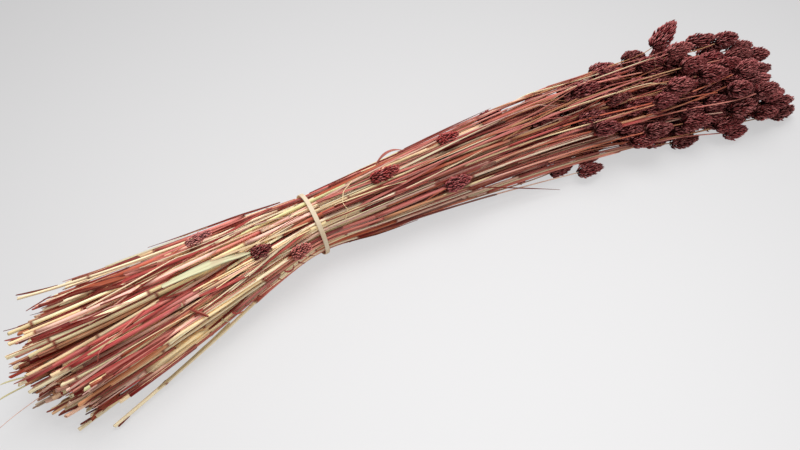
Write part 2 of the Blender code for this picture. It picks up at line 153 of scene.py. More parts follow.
# radius along a culm as a share of its thickness, from the cut end to the neck, and along a seed head
CULM_PLACES = (0.0, 0.3, 0.6, 0.85, 1.0)
CULM_SHARES = (1.18, 1.0, 0.78, 0.52, 0.40)
HEAD_PLACES = (0.0, 0.12, 0.40, 0.75, 1.0)
HEAD_SHARES = (0.08, 0.62, 1.0, 0.78, 0.12)
CORE_SHARE = 0.82               # the solid head inside its loose spikelet tips

STALK_GAP = 0.0006              # kept between two outer stalks
INNER_GAP = -0.0003             # the rest may press into each other a little
SURFACE_GAP = 0.0001
REST_GAP = 0.0005               # kept under what lies loose on the stalks
CROSSING = 1.6                  # more room under a twig, which crosses the stalks on a slope
# how firmly a stalk is drawn to its place: anywhere, how much more in the band, and how near that is
PULL = (0.05, 0.25, 0.03)
STIFFNESS = 0.15
DRAW_STEPS, CALM_FROM, CLEAR_STEPS, INNER_STEPS = 200, 140, 400, 60
CLEARED = 0.0001                # overlaps left to the gap

LEAF_THICKNESS = 0.0004
LEAF_POINTS = 12
LEAF_TAPER = (0.55, 1.0, 0.85, 0.15)    # a blade's width from one end to the other

# loose pieces: colour, width of a blade or radius of a twig, and a route of x, y and least z from the band
BLADES = {
    "leaf_blade_broad": (
        "olive", 0.0052, ((-0.055, -0.0240, 0.0), (-0.090, -0.0262, 0.0), (-0.124, -0.0305, 0.0))),
    "leaf_blade_far": (
        "maroon", 0.0022, ((-0.018, 0.0205, 0.039), (-0.064, 0.0225, 0.038), (-0.127, 0.0275, 0.035))),
    "leaf_blade_near": (
        "maroon", 0.0015, ((0.122, -0.0300, 0.018), (0.172, -0.0380, 0.007), (0.218, -0.0486, 0.003))),
    "leaf_blade_arched": (
        "rose", 0.0028, ((0.068, 0.0175, 0.046), (0.080, 0.0185, 0.055), (0.096, 0.0210, 0.046))),
}
TWIGS = {
    "twig_loose": ("maroon", 0.0012, ((-0.112, -0.0500, 0.0), (-0.102, -0.0580, 0.0))),
    "straw_fibre": (
        "straw", 0.0004,
        ((0.040, 0.004, 0.0), (0.030, -0.002, 0.0), (0.025, -0.012, 0.0), (0.027, -0.018, 0.0),
         (0.022, -0.023, 0.0))),
}

BAND_PLACE = np.array([BAND_X, BAND_Y, 0.0])
BAND_REACH = 0.007              # nothing loose lies this close to the band
DYE_FROM, DYE_TO = -0.16, 0.10   # the dye takes better from the first distance to the second
LIGHTEN_FROM, LIGHTEN_TO = -0.21, -0.11     # the straw's colour is darker at the cut ends and grows lighter from the first distance to the second

# ---- shades -------------------------------------------------------------------------------------------

# dye and straw colours, in linear light
SHADES = {
    "cream": (0.80, 0.68, 0.455),
    "straw": (0.77, 0.61, 0.36),
    "olive": (0.68, 0.62, 0.34),
    "pale green": (0.76, 0.74, 0.47),
    "gold": (0.45, 0.215, 0.105),
    "blush": (0.70, 0.43, 0.345),
    "rose": (0.515, 0.150, 0.124),
    "cherry": (0.42, 0.054, 0.050),
    "brick": (0.45, 0.10, 0.050),
    "maroon": (0.165, 0.010, 0.008),
    "plum": (0.150, 0.017, 0.019),
    "wine": (0.215, 0.027, 0.030),
    "berry": (0.31, 0.062, 0.065),
    "husk pink": (0.80, 0.31, 0.29),
    # painted shadow for the inside of a cut end's hollow
    "painted hollow shadow": (0.045, 0.010, 0.008),
}
SHADES = {name: np.array(shade) for name, shade in SHADES.items()}

# which shades a piece may have, and how often each comes up at a distance from the band
CULM_SHADES = (("cream", "straw", "olive", "blush", "rose", "gold", "brick"), {
    -0.20: (46, 28, 7, 10, 5, 2, 2),
    -0.08: (50, 32, 9, 7, 1, 1, 0),
    0.00: (30, 16, 4, 30, 14, 3, 3),
    0.10: (17, 7, 1, 37, 27, 6, 5),
    0.20: (14, 9, 2, 20, 28, 14, 13),
    0.32: (3, 6, 1, 8, 22, 34, 26),
})
SHEATH_SHADES = (("rose", "cherry", "brick", "maroon", "straw", "gold", "blush"), {
    -0.20: (34, 14, 12, 20, 8, 4, 8),
    -0.07: (20, 6, 3, 14, 33, 1, 23),
    0.10: (34, 14, 12, 18, 6, 2, 14),
    0.28: (26, 16, 24, 28, 1, 3, 2),
})
NECK_SHADES = (("gold", "brick", "rose", "blush"), {0.0: (36, 32, 22, 10)})
SHRED_SHADES = (("rose", "cherry", "brick", "maroon", "straw", "cream", "blush"), {
    -0.20: (22, 12, 10, 20, 14, 14, 8),
    -0.05: (14, 6, 4, 14, 24, 28, 10),
    0.10: (26, 14, 14, 20, 9, 8, 9),
    0.22: (26, 14, 26, 28, 3, 1, 2),
})
STRAW_SHADES = (("cream", "straw", "gold", "blush", "rose", "maroon"), {
    0.0: (28, 20, 8, 14, 14, 16),
    0.18: (3, 8, 36, 8, 23, 22),
})
HEAD_SHADES = (("plum", "wine", "berry"), {0.0: (50, 34, 16)})
SHEATH_CHANCE = {-0.20: 0.56, -0.08: 0.30, 0.02: 0.66, 0.30: 0.86}
PAINTED_DEPTH_SHADE = np.array([0.50, 0.80, 0.86])   # painted shade: what lies deep in the bundle is painted this much darker, and redder
PAINTED_SHADE_DEPTHS = (0.46, 0.80)             # shares of the round: fully painted with that shade within the first, none past the second

# ---- laying the stalks out ----------------------------------------------------------------------------


def plan_stalks():
    """Draws each stalk's place in the tied round, from the outermost in, and its sizes."""
    rng = np.random.default_rng(SEED)
    inward = np.arange(STALKS)[::-1]
    rho = np.sqrt((inward + 0.5) / STALKS)
    turn = inward * math.pi * (3 - math.sqrt(5))
    across = rho * np.cos(turn)
    upward = rho * np.sin(turn)
    thick = rng.uniform(*CULM_RADIUS, STALKS)
    start = CUT_AT + CUT_STRAY * rng.uniform(-1, 1, STALKS) + CUT_CURVE * np.abs(across) ** 1.5
    tip = TIP_AT - TIP_SLOPE * (1 + upward) - TIP_SPREAD * rng.uniform(0, 1, STALKS) ** 1.2
    low_head = rng.uniform(0, 1, STALKS) < LOW_HEAD_SHARE
    tip = np.where(low_head, rng.uniform(*LOW_HEADS, STALKS), tip)
    head_length = rng.uniform(*HEAD_LENGTH, STALKS)
    head_radius = rng.uniform(*HEAD_RADIUS, STALKS)
    angle = rng.uniform(0, 2 * math.pi, (3, STALKS))
    reach = np.sqrt(rng.uniform(0, 1, (3, STALKS)))
    stray = np.stack([reach * np.cos(angle), reach * np.sin(angle)])
    return {"rho": rho, "across": across, "upward": upward, "thick": thick, "start": start, "tip": tip,
            "head_length": head_length, "head_radius": head_radius, "stray": stray}


def outline_at(x):
    """Half width, half height and sideways shift of the bundle at distance x from the band."""
    return [np.interp(x, OUTLINE[:, 0], OUTLINE[:, k]) for k in (1, 2, 3)]


def nearest_stalk(plan, place, free):
    """The free stalk whose place in the round comes nearest to the given x, y and z."""
    half, tall, shift = outline_at(place[0])
    across = plan["across"] - (place[1] - shift) / half
    upward = plan["upward"] - (place[2] - tall) / tall
    miss = across ** 2 + upward ** 2
    return int(np.argmin(np.where(free, miss, np.inf)))


def aim_stalks(plan):
    """Spreads the tied round over the outline at every bend, and lets each stalk wander by its ends.

    Returns the wanted y and z, an array of 2 by bends by stalks.
    """
    half, tall, shift = [value[:, None] for value in outline_at(BENDS)]
    lift = (HOLD_HEIGHT - HOLD_RADIUS) * np.clip(1 - np.abs(BENDS / CUT_END), 0, 1)[:, None]
    outward = plan["rho"] ** (np.interp(BENDS, [0.0, 0.35], [0.0, -CROWDING])[:, None])
    y = shift + FILL * half * plan["across"] * outward
    z = lift + tall + FILL * tall * plan["upward"] * outward
    stray = plan["stray"][:, :, None]
    to_cut_end = np.clip(BENDS / CUT_END, 0, 1)[:, None]
    to_heads = np.clip(BENDS / 0.45, 0, 1)[:, None] ** 1.5
    at_neck = np.clip(1 - (plan["tip"] - BENDS[:, None]) / NECK_STRAY_LENGTH, 0, 1.4) ** 2
    by_heads = HEAD_STRAY * (to_heads * stray[:, 1] + at_neck * stray[:, 2])
    return np.stack([y, z]) + CUT_END_STRAY * to_cut_end * stray[:, 0] + by_heads


def send_ends_apart(plan, aim):
    """Draws one outer stalk to each cut end that sticks out, straight over its last stretch."""
    free = np.arange(STALKS) < OUTER_STALKS
    for end, near in ENDS_APART:
        i = nearest_stalk(plan, near, free)
        free[i] = False
        plan["start"][i] = end[0]
        blend = np.clip(BENDS / near[0], 0, 1) ** 1.2
        beyond = BENDS < near[0]
        part = (BENDS[beyond] - near[0]) / (end[0] - near[0])
        for k in (0, 1):
            aim[k, :, i] += blend * (near[k + 1] - np.interp(near[0], BENDS, aim[k, :, i]))
            aim[k, beyond, i] = near[k + 1] + part * (end[k + 1] - near[k + 1])


def send_heads_apart(plan, aim):
    """Draws one outer stalk to each seed head that lies apart, level on the surface or at its own slope."""
    free = np.arange(STALKS) < OUTER_STALKS
    for x, head_y, head_z, rise, sideways in HEADS_APART:
        i = nearest_stalk(plan, (x, head_y, head_z), free)
        free[i] = False
        size = np.interp(x, SMALL_HEADS, (SMALL_HEAD_SHARE, 1.0))
        plan["head_length"][i] *= size / (1 + STEEP_HEAD[0] * rise)
        plan["head_radius"][i] *= size * (1 + STEEP_HEAD[1] * rise)
        plan["tip"][i] = x + 0.5 * plan["head_length"][i]
        blend = np.clip(BENDS / x, 0, 1) ** (1.5 + rise)
        aim[0, :, i] += blend * (head_y - np.interp(x, BENDS, aim[0, :, i]))
        aim[1, :, i] += blend * (head_z - np.interp(x, BENDS, aim[1, :, i]))
        k = int(np.searchsorted(BENDS, x))
        if rise:
            aim[0, k - 1:k + 1, i] = head_y + sideways * (BENDS[k - 1:k + 1] - x)
            aim[1, k - 1:k + 1, i] = head_z + rise * (BENDS[k - 1:k + 1] - x)
        elif head_z < ON_SURFACE:
            aim[0, k - 1:k + 1, i] = head_y
            aim[1, k - 1:k + 1, i] = head_z


def stalk_radii(plan, x):
    """Radius of every stalk at the distances x, and zero past its ends: distances by stalks."""
    x = np.asarray(x)[:, None]
    neck = plan["tip"] - plan["head_length"]
    along = (x - plan["start"]) / (neck - plan["start"])
    culm = plan["thick"] * np.interp(along, CULM_PLACES, CULM_SHARES)
    swell = np.interp((x - neck) / plan["head_length"], HEAD_PLACES, HEAD_SHARES)
    head = CORE_SHARE * plan["head_radius"] * swell
    inside = (x >= plan["start"]) & (x <= plan["tip"])
    return np.where(inside, np.where(x < neck, culm, head), 0.0)


def at_stations(bends):
    """Straight runs between the bends, read at every station."""
    span = np.minimum(np.arange(len(STATIONS)) // PARTS_OF_STEP, len(BENDS) - 2)
    part = (np.arange(len(STATIONS)) / PARTS_OF_STEP - span)[:, None]
    return bends[:, span] * (1 - part) + bends[:, span + 1] * part


def to_bends(moves):
    """Hands what is wanted at each station to the bends on either side, by nearness."""
    total = np.zeros(moves.shape[:-2] + (len(BENDS), STALKS))
    for k in range(PARTS_OF_STEP):
        part = k / PARTS_OF_STEP
        total[..., :-1, :] += (1 - part) * moves[..., k:-1:PARTS_OF_STEP, :]
        total[..., 1:, :] += part * moves[..., k:-1:PARTS_OF_STEP, :]
    total[..., -1, :] += moves[..., -1, :]
    return total


def near_pairs(bends, need, margin=0.004):
    """Every station and pair of stalks there that are close enough to touch soon."""
    place = at_stations(bends)
    apart = place[:, :, :, None] - place[:, :, None, :]
    close = (apart[0] ** 2 + apart[1] ** 2 < (need + margin) ** 2) & (need > 0)
    return np.nonzero(close & (np.arange(STALKS)[:, None] < np.arange(STALKS)))


def press_apart(bends, pairs, need, wide, strength):
    """Moves overlapping stalks apart, off the surface and in under the band. Returns the worst overlap."""
    at, i, j = pairs
    place = at_stations(bends)
    apart = place[:, at, i] - place[:, at, j]
    distance = np.sqrt(apart[0] ** 2 + apart[1] ** 2) + 1e-9
    overlap = np.clip(need[at, i, j] - distance, 0, None)
    push = 0.5 * apart * overlap / distance
    hit = (overlap > 0).astype(float)
    size = len(STATIONS) * STALKS
    one = at * STALKS + i
    other = at * STALKS + j
    moves = np.stack([np.bincount(one, push[k], size) - np.bincount(other, push[k], size) for k in (0, 1)])
    moves = moves.reshape(2, -1, STALKS)
    hits = (np.bincount(one, hit, size) + np.bincount(other, hit, size)).reshape(-1, STALKS)
    sunk = np.clip(wide + SURFACE_GAP - place[1], 0, None)
    moves[1] += sunk
    hits += sunk > 0
    tied = len(BENDS[BENDS < -0.001]) * PARTS_OF_STEP
    for k, slack in ((tied - 1, 0.002), (tied, 0.0), (tied + 1, 0.0025)):
        out = place[:, k] - np.array([[BAND_SIDE], [HOLD_HEIGHT]])
        far = np.sqrt(out[0] ** 2 + out[1] ** 2) + 1e-9
        outside = np.clip(far + wide[k] - HOLD_RADIUS - slack, 0, None)
        moves[:, k] -= out / far * outside
        hits[k] += outside > 0
    bends += strength * to_bends(moves) / np.maximum(to_bends(hits), 0.7)
    return float(overlap.max(initial=0.0))


def settle_stalks(plan):
    """Draws the stalks to their places while they press each other apart, then clears the outer ones.

    Returns y and z at the bends, 2 by bends by stalks, measured from the band.
    """
    aim = aim_stalks(plan)
    send_ends_apart(plan, aim)
    send_heads_apart(plan, aim)
    half_step = 0.5 * BEND_STEP / PARTS_OF_STEP
    wide = np.max([stalk_radii(plan, STATIONS + d) for d in np.linspace(-half_step, half_step, 5)], axis=0)
    outer = np.arange(STALKS) < OUTER_STALKS
    gap = np.where(outer[:, None] & outer, STALK_GAP, INNER_GAP)
    need = wide[:, :, None] + wide[:, None, :] + gap
    need[(wide[:, :, None] == 0) | (wide[:, None, :] == 0)] = 0
    bends = aim.copy()
    anywhere, tied, within = PULL
    pull = anywhere + tied * np.exp(-(BENDS / within) ** 2)[:, None]
    for step in range(DRAW_STEPS):
        if step % 10 == 0:
            pairs = near_pairs(bends, need)
        ease = 1.0 if step < CALM_FROM else 0.15
        bends += ease * min(1.0, 0.3 + step / 100) * pull * (aim - bends)
        bends[:, 1:-1] += ease * STIFFNESS * (0.5 * (bends[:, :-2] + bends[:, 2:]) - bends[:, 1:-1])
        press_apart(bends, pairs, need, wide, 1.2)
        bends = np.round(bends, 8)
    for step in range(CLEAR_STEPS):
        if step % 10 == 0:
            pairs = near_pairs(bends, need)
            pairs = [index[pairs[2] < OUTER_STALKS] for index in pairs]
        if press_apart(bends, pairs, need, wide, 1.0) < CLEARED:
            break
        bends = np.round(bends, 8)
    cleared = bends[:, :, outer].copy()
    for step in range(INNER_STEPS):
        if step % 10 == 0:
            pairs = near_pairs(bends, need)
        press_apart(bends, pairs, need, wide, 1.0)
        bends[:, :, outer] = cleared
        bends = np.round(bends, 8)
    return bends


def top_of_stalks(plan, bends, x, y, reach):
    """Height that the middle of a strand of radius reach lies at on the stalks, at each x and y."""
    radius = stalk_radii(plan, x)
    side = np.stack([np.interp(x, BENDS, bends[0, :, i]) for i in range(STALKS)], axis=1) - y[:, None]
    level = np.stack([np.interp(x, BENDS, bends[1, :, i]) for i in range(STALKS)], axis=1)
    arm = radius + reach
    under = (radius > 0) & (np.abs(side) < arm)
    top = level + np.sqrt(np.clip(arm ** 2 - side ** 2, 0, None))
    return np.max(np.where(under, top, reach), axis=1)


def route_points(route, count):
    """Points evenly spaced along a short route: a quadratic through three points, or straight runs."""
    route = np.array(route)
    knots = np.linspace(0, 1, len(route))
    spread = np.linspace(0, 1, count)
    if len(route) == 3:
        weights = [(1 - spread) * (1 - 2 * spread), 4 * spread * (1 - spread), spread * (2 * spread - 1)]
        return sum(weight[:, None] * point for weight, point in zip(weights, route))
    return np.stack([np.interp(spread, knots, route[:, k]) for k in range(3)], axis=1)


def lay_on_stalks(plan, bends, points, reach, half_width=0.0):
    """Lifts points that lie lower than the stalks allow, and holds them taut between those they touch."""
    across = np.linspace(-half_width, half_width, 5)
    room = reach + REST_GAP
    least = [top_of_stalks(plan, bends, points[:, 0], points[:, 1] + side, room) for side in across]
    least = np.maximum(np.max(least, axis=0), points[:, 2])
    height = least.copy()
    for _ in range(40):
        height[1:-1] = np.maximum(least[1:-1], 0.5 * (height[:-2] + height[2:]))
    return np.stack([points[:, 0], points[:, 1], height], axis=1)


# ---- surfaces -----------------------------------------------------------------------------------------

def pressed(height):
    """Squeezes what dips below a millimetre into that layer: h becomes exp(h - 1), in millimetres."""
    layer = 0.001
    return np.where(height < layer, layer * np.exp(np.minimum(height, layer) / layer - 1), height)


def put(name, data):
    """Puts a mesh, a lamp or a camera into the scene."""
    thing = bpy.data.objects.new(name, data)
    bpy.context.collection.objects.link(thing)
    return thing


def faces_of(rows, cols):
    """One surface's faces: each corner's vertex, its shares along and round, and each face's corner count.

    Vertex 0 is the first pole, then come the rings, and the last one is the other pole. Faces are quads
    between the rings and a fan of triangles round each pole.
    """
    i, j = np.meshgrid(np.arange(rows - 1), np.arange(cols), indexing="ij")
    i, j = i.ravel(), j.ravel()
    after = (j + 1) % cols
    low, high = 1 + i * cols, 1 + (i + 1) * cols
    ring = np.arange(cols)
    following = (ring + 1) % cols
    last = 1 + (rows - 1) * cols
    quads = np.stack([low + j, low + after, high + after, high + j], axis=1)
    bottom = np.stack([0 * ring, 1 + following, 1 + ring], axis=1)
    top = np.stack([0 * ring + last + cols, last + ring, last + following], axis=1)
    index = np.concatenate([quads.ravel(), bottom.ravel(), top.ravel()])
    along = np.concatenate([(1 + np.stack([i, i, i + 1, i + 1], axis=1)).ravel(),
                            np.tile([0, 1, 1], cols), np.tile([rows + 1, rows, rows], cols)]) / (rows + 1)
    around = np.concatenate([np.stack([j, j + 1, j + 1, j], axis=1).ravel(),
                             np.stack([ring + 0.5, ring + 1, ring], axis=1).ravel(),
                             np.stack([ring + 0.5, ring, ring + 1], axis=1).ravel()]) / cols
    return index, along, around, np.concatenate([np.full(len(quads), 4), np.full(2 * cols, 3)])


LONG_SHARE = 0.42               # the long surfaces' share of the sheet, where there are small ones too
CELL_MARGIN = 0.06              # left free on each side of a surface's rectangle on the sheet


class Skin:
    """Closed round surfaces gathered into one mesh.

    Each surface is a grid of rings, with a pole at either end. Its own map "grain" runs along it and round
    it, and its map "OFBake" gives it a rectangle of its own on one sheet.
    """

    def __init__(self):
        self.parts = []

    def add(self, rings, first, last, tint, finish, length, small=False):
        """rings: copies x rings x round x 3; first and last: the poles, copies x 3; tint: colours to match.

        length: how far the grain map runs along each copy. Round it the map always runs from 0 to 1.
        """
        copies, rows, cols, _ = rings.shape
        tint = np.broadcast_to(tint, (copies, rows, cols, 3))
        places = np.concatenate([first[:, None], rings.reshape(copies, -1, 3), last[:, None]], axis=1)
        colours = np.concatenate([tint[:, :1, 0], tint.reshape(copies, -1, 3), tint[:, -1:, 0]], axis=1)
        length = np.broadcast_to(np.asarray(length, float), (copies,))
        self.parts.append((places, colours, rows, cols, finish, length, small))

    def cells(self):
        """Shares the sheet out: long surfaces in full-width strips, small ones in a grid of cells above."""
        counts = [(len(places), small) for places, *_, small in self.parts]
        long_ones = sum(count for count, small in counts if not small)
        small_ones = sum(count for count, small in counts if small)
        level = LONG_SHARE if small_ones else 1.0
        columns = max(1, math.ceil(math.sqrt(small_ones / (1 - level + 1e-9)) * 0.9))
        rows = max(1, math.ceil(small_ones / columns))
        strip, cell = 0, 0
        for count, small in counts:
            k = np.arange(count)
            if small:
                k = k + cell
                cell += count
                up = level + (1 - level) * (k // columns) / rows
                low = np.stack([(k % columns) / columns, up], axis=1)
                yield low, np.array([1 / columns, (1 - level) / rows])
            else:
                k = k + strip
                strip += count
                yield np.stack([0 * k, level * k / long_ones], axis=1), np.array([1.0, level / long_ones])

    def mesh(self, name, finishes):
        """Writes all of it into one object, with the finishes in the order given."""
        verts, colours, loops, starts, slots, grain, sheet = [], [], [], [], [], [], []
        before, corner = 0, 0
        for part, (low, room) in zip(self.parts, self.cells()):
            places, tint, rows, cols, finish, length, _ = part
            copies = len(places)
            index, along, around, sizes = faces_of(rows, cols)
            first = np.concatenate([[0], np.cumsum(sizes)[:-1]])
            own = places.shape[1]
            loops.append((index[None] + before + own * np.arange(copies)[:, None]).ravel())
            starts.append((first[None] + corner + len(index) * np.arange(copies)[:, None]).ravel())
            slots.append(np.full(copies * len(sizes), finishes.index(finish)))
            run = (along[None] * length[:, None]).ravel()
            grain.append(np.stack([run, np.tile(around, copies)], axis=1))
            spot = np.stack([along, around], axis=1)
            spot = CELL_MARGIN + (1 - 2 * CELL_MARGIN) * spot[None]
            sheet.append((low[:, None] + room * spot).reshape(-1, 2))
            verts.append(places.reshape(-1, 3))
            colours.append(tint.reshape(-1, 3))
            before += copies * own
            corner += copies * len(index)
        verts = np.concatenate(verts)
        verts[:, 2] = pressed(verts[:, 2])
        mesh = bpy.data.meshes.new(name)
        mesh.vertices.add(len(verts))
        mesh.vertices.foreach_set("co", verts.ravel())
        mesh.loops.add(corner)
        mesh.loops.foreach_set("vertex_index", np.concatenate(loops).astype(np.int32))
        starts = np.concatenate(starts).astype(np.int32)
        mesh.polygons.add(len(starts))
        mesh.polygons.foreach_set("loop_start", starts)
        mesh.polygons.foreach_set("material_index", np.concatenate(slots).astype(np.int32))
        mesh.polygons.foreach_set("use_smooth", np.ones(len(starts), bool))
        mesh.update(calc_edges=True)
        for layer, values in (("grain", grain), ("OFBake", sheet)):
            uv = mesh.uv_layers.new(name=layer)
            uv.uv.foreach_set("vector", np.concatenate(values).ravel())
        colour = mesh.attributes.new("tint", "FLOAT_COLOR", "POINT")
        filled = np.ones((len(verts), 4))
        filled[:, :3] = np.concatenate(colours)
        colour.data.foreach_set("color", filled.ravel())
        for finish in finishes:
            mesh.materials.append(finish)
        return put(name, mesh)


def cubic(t, here, there, slope_here, slope_there):
    """The cubic that runs from one value to the next, leaving and arriving with the slopes, at share t."""
    start = (2 * t ** 3 - 3 * t ** 2 + 1) * here + (t ** 3 - 2 * t ** 2 + t) * slope_here
    end = (3 * t ** 2 - 2 * t ** 3) * there + (t ** 3 - t ** 2) * slope_there
    return start + end


def course(line, x):
    """Smooth run of y and z through a stalk's bends, read at x.

    Each span is a cubic that starts and ends at its bends with the slope of their neighbours.
    """
    at = np.clip((x - BENDS[0]) / BEND_STEP, 0, len(BENDS) - 1.001)
    k = at.astype(int)
    t = at - k
    slope = np.gradient(line, axis=1)
    return cubic(t, line[:, k], line[:, k + 1], slope[:, k], slope[:, k + 1])


def smooth_through(points, count):
    """Resamples a path evenly with the same cubic as the stalks use."""
    at = np.linspace(0, len(points) - 1, count)
    k = np.minimum(at.astype(int), len(points) - 2)
    slope = np.gradient(points, axis=0)
    return cubic((at - k)[:, None], points[k], points[k + 1], slope[k], slope[k + 1])


def run_length(points):
    """Sum of the steps between a path's points."""
    return float(np.sum(np.linalg.norm(np.diff(points, axis=0), axis=1)))


def shares_along(count, places, shares):
    """A run's width at count even steps, straight between the shares it has at some places."""
    return np.interp(np.linspace(0, 1, count), places, shares)


def unit(vectors):
    """Vectors brought to length 1."""
    return vectors / (np.linalg.norm(vectors, axis=-1, keepdims=True) + 1e-12)


def axes_along(points):
    """Direction, sideways and upward unit vectors at each point of a path that never runs straight up."""
    ahead = unit(np.gradient(points, axis=0))
    side = unit(np.cross(np.array([0.0, 0.0, 1.0]), ahead))
    return ahead, side, np.cross(ahead, side)


def round_section(cols):
    """Angles round a tube, with the seam underneath."""
    return -0.5 * math.pi + 2 * math.pi * np.arange(cols) / cols


def spokes(angle, side, up):
    """Vectors turned by an angle from sideways to upward: side cos(angle) + up sin(angle)."""
    return np.cos(angle)[..., None] * side + np.sin(angle)[..., None] * up


# ---- stalks -------------------------------------------------------------------------------------------

BARE_NECK = 0.13                # the last run to the head has no joint in this length
CROOKS = np.array([[0.0007], [0.0003]])     # how far a joint stands off the smooth run, sideways and upward
JOINT_STEPS = np.array([-0.0020, -0.0007, 0.0, 0.0007, 0.0020])
JOINT_ROOM = 0.0035             # a culm's other rings stay this far from a joint
JOINT_SWELL, SWELL_REACH = 0.28, 0.0018     # a joint is this much thicker, over this length
RING_DARK, RING_REACH = 0.95, 0.0013        # the dark ring round a joint
FOOT_DARK, FOOT_REACH = 0.16, 0.010         # a run between joints is this much darker at its foot
WARM_FROM, WARM_REACH = 0.18, 0.14          # the last run takes its warm shade this far from the head
HOLLOW_PLACES = np.array([0.0003, 0.0045])  # the hollow in a cut end: how deep its rings lie
HOLLOW_SHARES = np.array([0.64, 0.44])      # and how wide they are
CUT_RAGGED = 0.00022            # how uneven the cut is
SHEATH_STEP = 0.011             # between the rings of a sheath
SHORTEST_SHEATH = 0.012
SHEATH_CLEAR = 0.02             # a sheath ends this far below the head
LAST_SHEATH_CHANCE = 0.88       # on the last joint; SHEATH_CHANCE gives the others'
SHEATH_LOOSE = (0.00012, 0.00036)           # a sheath's room round the culm
SHEATH_FLARE = 0.0010           # how far its end may stand open
COLLAR_SWELL, COLLAR_REACH = 0.00018, 0.006     # it is this much thicker at its foot, over this length
SHEATH_SLANT, SHEATH_TEAR = (0.0006, 0.0060), (0.0002, 0.0024)      # its end is askew, and torn this deep
SHRED_LENGTHS = (0.020, 0.100)
SHRED_ROOM, SHRED_LIFT = 0.0005, 0.0026     # a shred's room over the culm, and how far one end may lift
SHRED_THICKNESS = 0.00022
SHRED_CUP = 0.3                 # how far a torn strip's edges turn up
NARROWEST = 0.0008              # shred or splinter
WIDEST_SPLINTER = 0.0022
SPLINTER_LENGTHS = (0.008, 0.030)
SPLINTER_OVERHANG = (-0.004, 0.003)         # how far its point lies past the cut end, or short of it
SPLINTER_ROOM, SPLINTER_LIFT = 0.0002, (0.0003, 0.0022)

# a head's core, and its husks: lengths, half widths and keels at a husk's two rings, and where those stand
CORE_PLACES = np.array([0.03, 0.14, 0.4, 0.72, 0.90])
CORE_SHARES = np.array([0.16, 0.46, 0.66, 0.48, 0.14])
HUSK_LENGTHS = (0.0043, 0.0056)
HUSK_HALVES = np.array([0.00112, 0.00058])
HUSK_KEELS = np.array([0.00115, 0.00105])
HUSK_RINGS = np.array([0.34, 0.66])
HUSK_RISE = np.array([0.00075, 0.00065])
HUSKS_FOR, RADIUS_FOR, LENGTH_FOR = 160.0, 0.0070, 0.030    # the head that those sizes fit
STANDS_OUT = 0.0016             # how far past the egg a tip may be
PALEST_HUSK = 0.62              # how far a husk may be faded

# how finely a stalk is dressed: points round its culm, the step between rings, husks, shreds, widest shred
OUTER = {"cols": 8, "step": 0.010, "spikelets": 260, "shreds": 2, "widest": 0.0024}
INNER = {"cols": 6, "step": 0.016, "spikelets": 190, "shreds": 1, "widest": 0.0020}


class Stalk:
    """One stalk's path and sizes, in the bundle's own place."""

    def __init__(self, plan, bends, i):
        self.line = bends[:, :, i]
        self.start = plan["start"][i]
        self.tip = plan["tip"][i]
        self.neck = self.tip - plan["head_length"][i]
        self.thick = plan["thick"][i]
        self.head_length = plan["head_length"][i]
        self.head_radius = plan["head_radius"][i]
        # painted shade: a stalk deep in the bundle is painted darker and redder, as if in shadow
        self.painted_shade = 1 - np.interp(plan["rho"][i], PAINTED_SHADE_DEPTHS, (1.0, 0.0)) * PAINTED_DEPTH_SHADE
        self.bare = any(self.start == end[0] for end, _ in ENDS_APART)
        self.rng = np.random.default_rng([SEED, 7, i])
        self.joints = self.place_joints()
        self.kink_at = np.concatenate([[self.start], self.joints, [self.neck]])
        self.kinks = self.rng.uniform(-1, 1, (2, len(self.kink_at))) * CROOKS

    def place_joints(self):
        """Joints stand closer together near the cut end, and the last run to the head is the longest."""
        steps = self.rng.uniform(0.055, 0.075) * np.cumprod(self.rng.uniform(1.05, 1.35, 8))
        joints = self.start + self.rng.uniform(-0.030, 0.055) + np.concatenate([[0], np.cumsum(steps)])
        return joints[(joints > self.start + 0.006) & (joints < self.neck - BARE_NECK)]

    def at(self, x):
        """Points of the middle line at x: the smooth run, with a slight crook at every joint."""
        y, z = course(self.line, x)
        y = y + np.interp(x, self.kink_at, self.kinks[0])
        z = z + np.interp(x, self.kink_at, self.kinks[1])
        return np.stack([x, y, z], axis=-1) + BAND_PLACE

    def radius(self, x):
        """The culm's radius at x: the stalk's own thickness times the share at that part of the culm."""
        return self.thick * np.interp((x - self.start) / (self.neck - self.start), CULM_PLACES, CULM_SHARES)

    def tube(self, x, radii, cols, shape=None, push=None):
        """Rings of the given radii round the middle line: rings x round x 3.

        shape multiplies the radius by place round the ring, and push moves single points along the stalk.
        """
        middle = self.at(x)
        ahead, side, up = axes_along(middle)
        reach = radii[:, None] * np.ones(cols) if shape is None else radii[:, None] * shape
        ring = middle[:, None] + reach[..., None] * spokes(round_section(cols), side[:, None], up[:, None])
        if push is not None:
            ring = ring + push[..., None] * ahead[:, None]
        return ring


class Sprig(Stalk):
    """A side shoot's straight end: x counts along it from its foot."""

    def __init__(self, foot, ahead, number):
        self.foot = foot
        self.ahead = unit(np.array(ahead))
        self.rng = np.random.default_rng([SEED, 13, number])

    def at(self, x):
        """Points of the straight line at x."""
        return self.foot + np.asarray(x)[:, None] * self.ahead


def shade_of(rng, names, weights, x=0.0):
    """Picks a shade by the weights at distance x, each time a little lighter, darker, warmer or cooler."""
    share = np.array([np.interp(x, list(weights), column) for column in zip(*weights.values())])
    name = names[rng.choice(len(names), p=share / share.sum())]
    return SHADES[name] * rng.uniform(0.84, 1.14) * (1 + 0.06 * rng.uniform(-1, 1, 3))


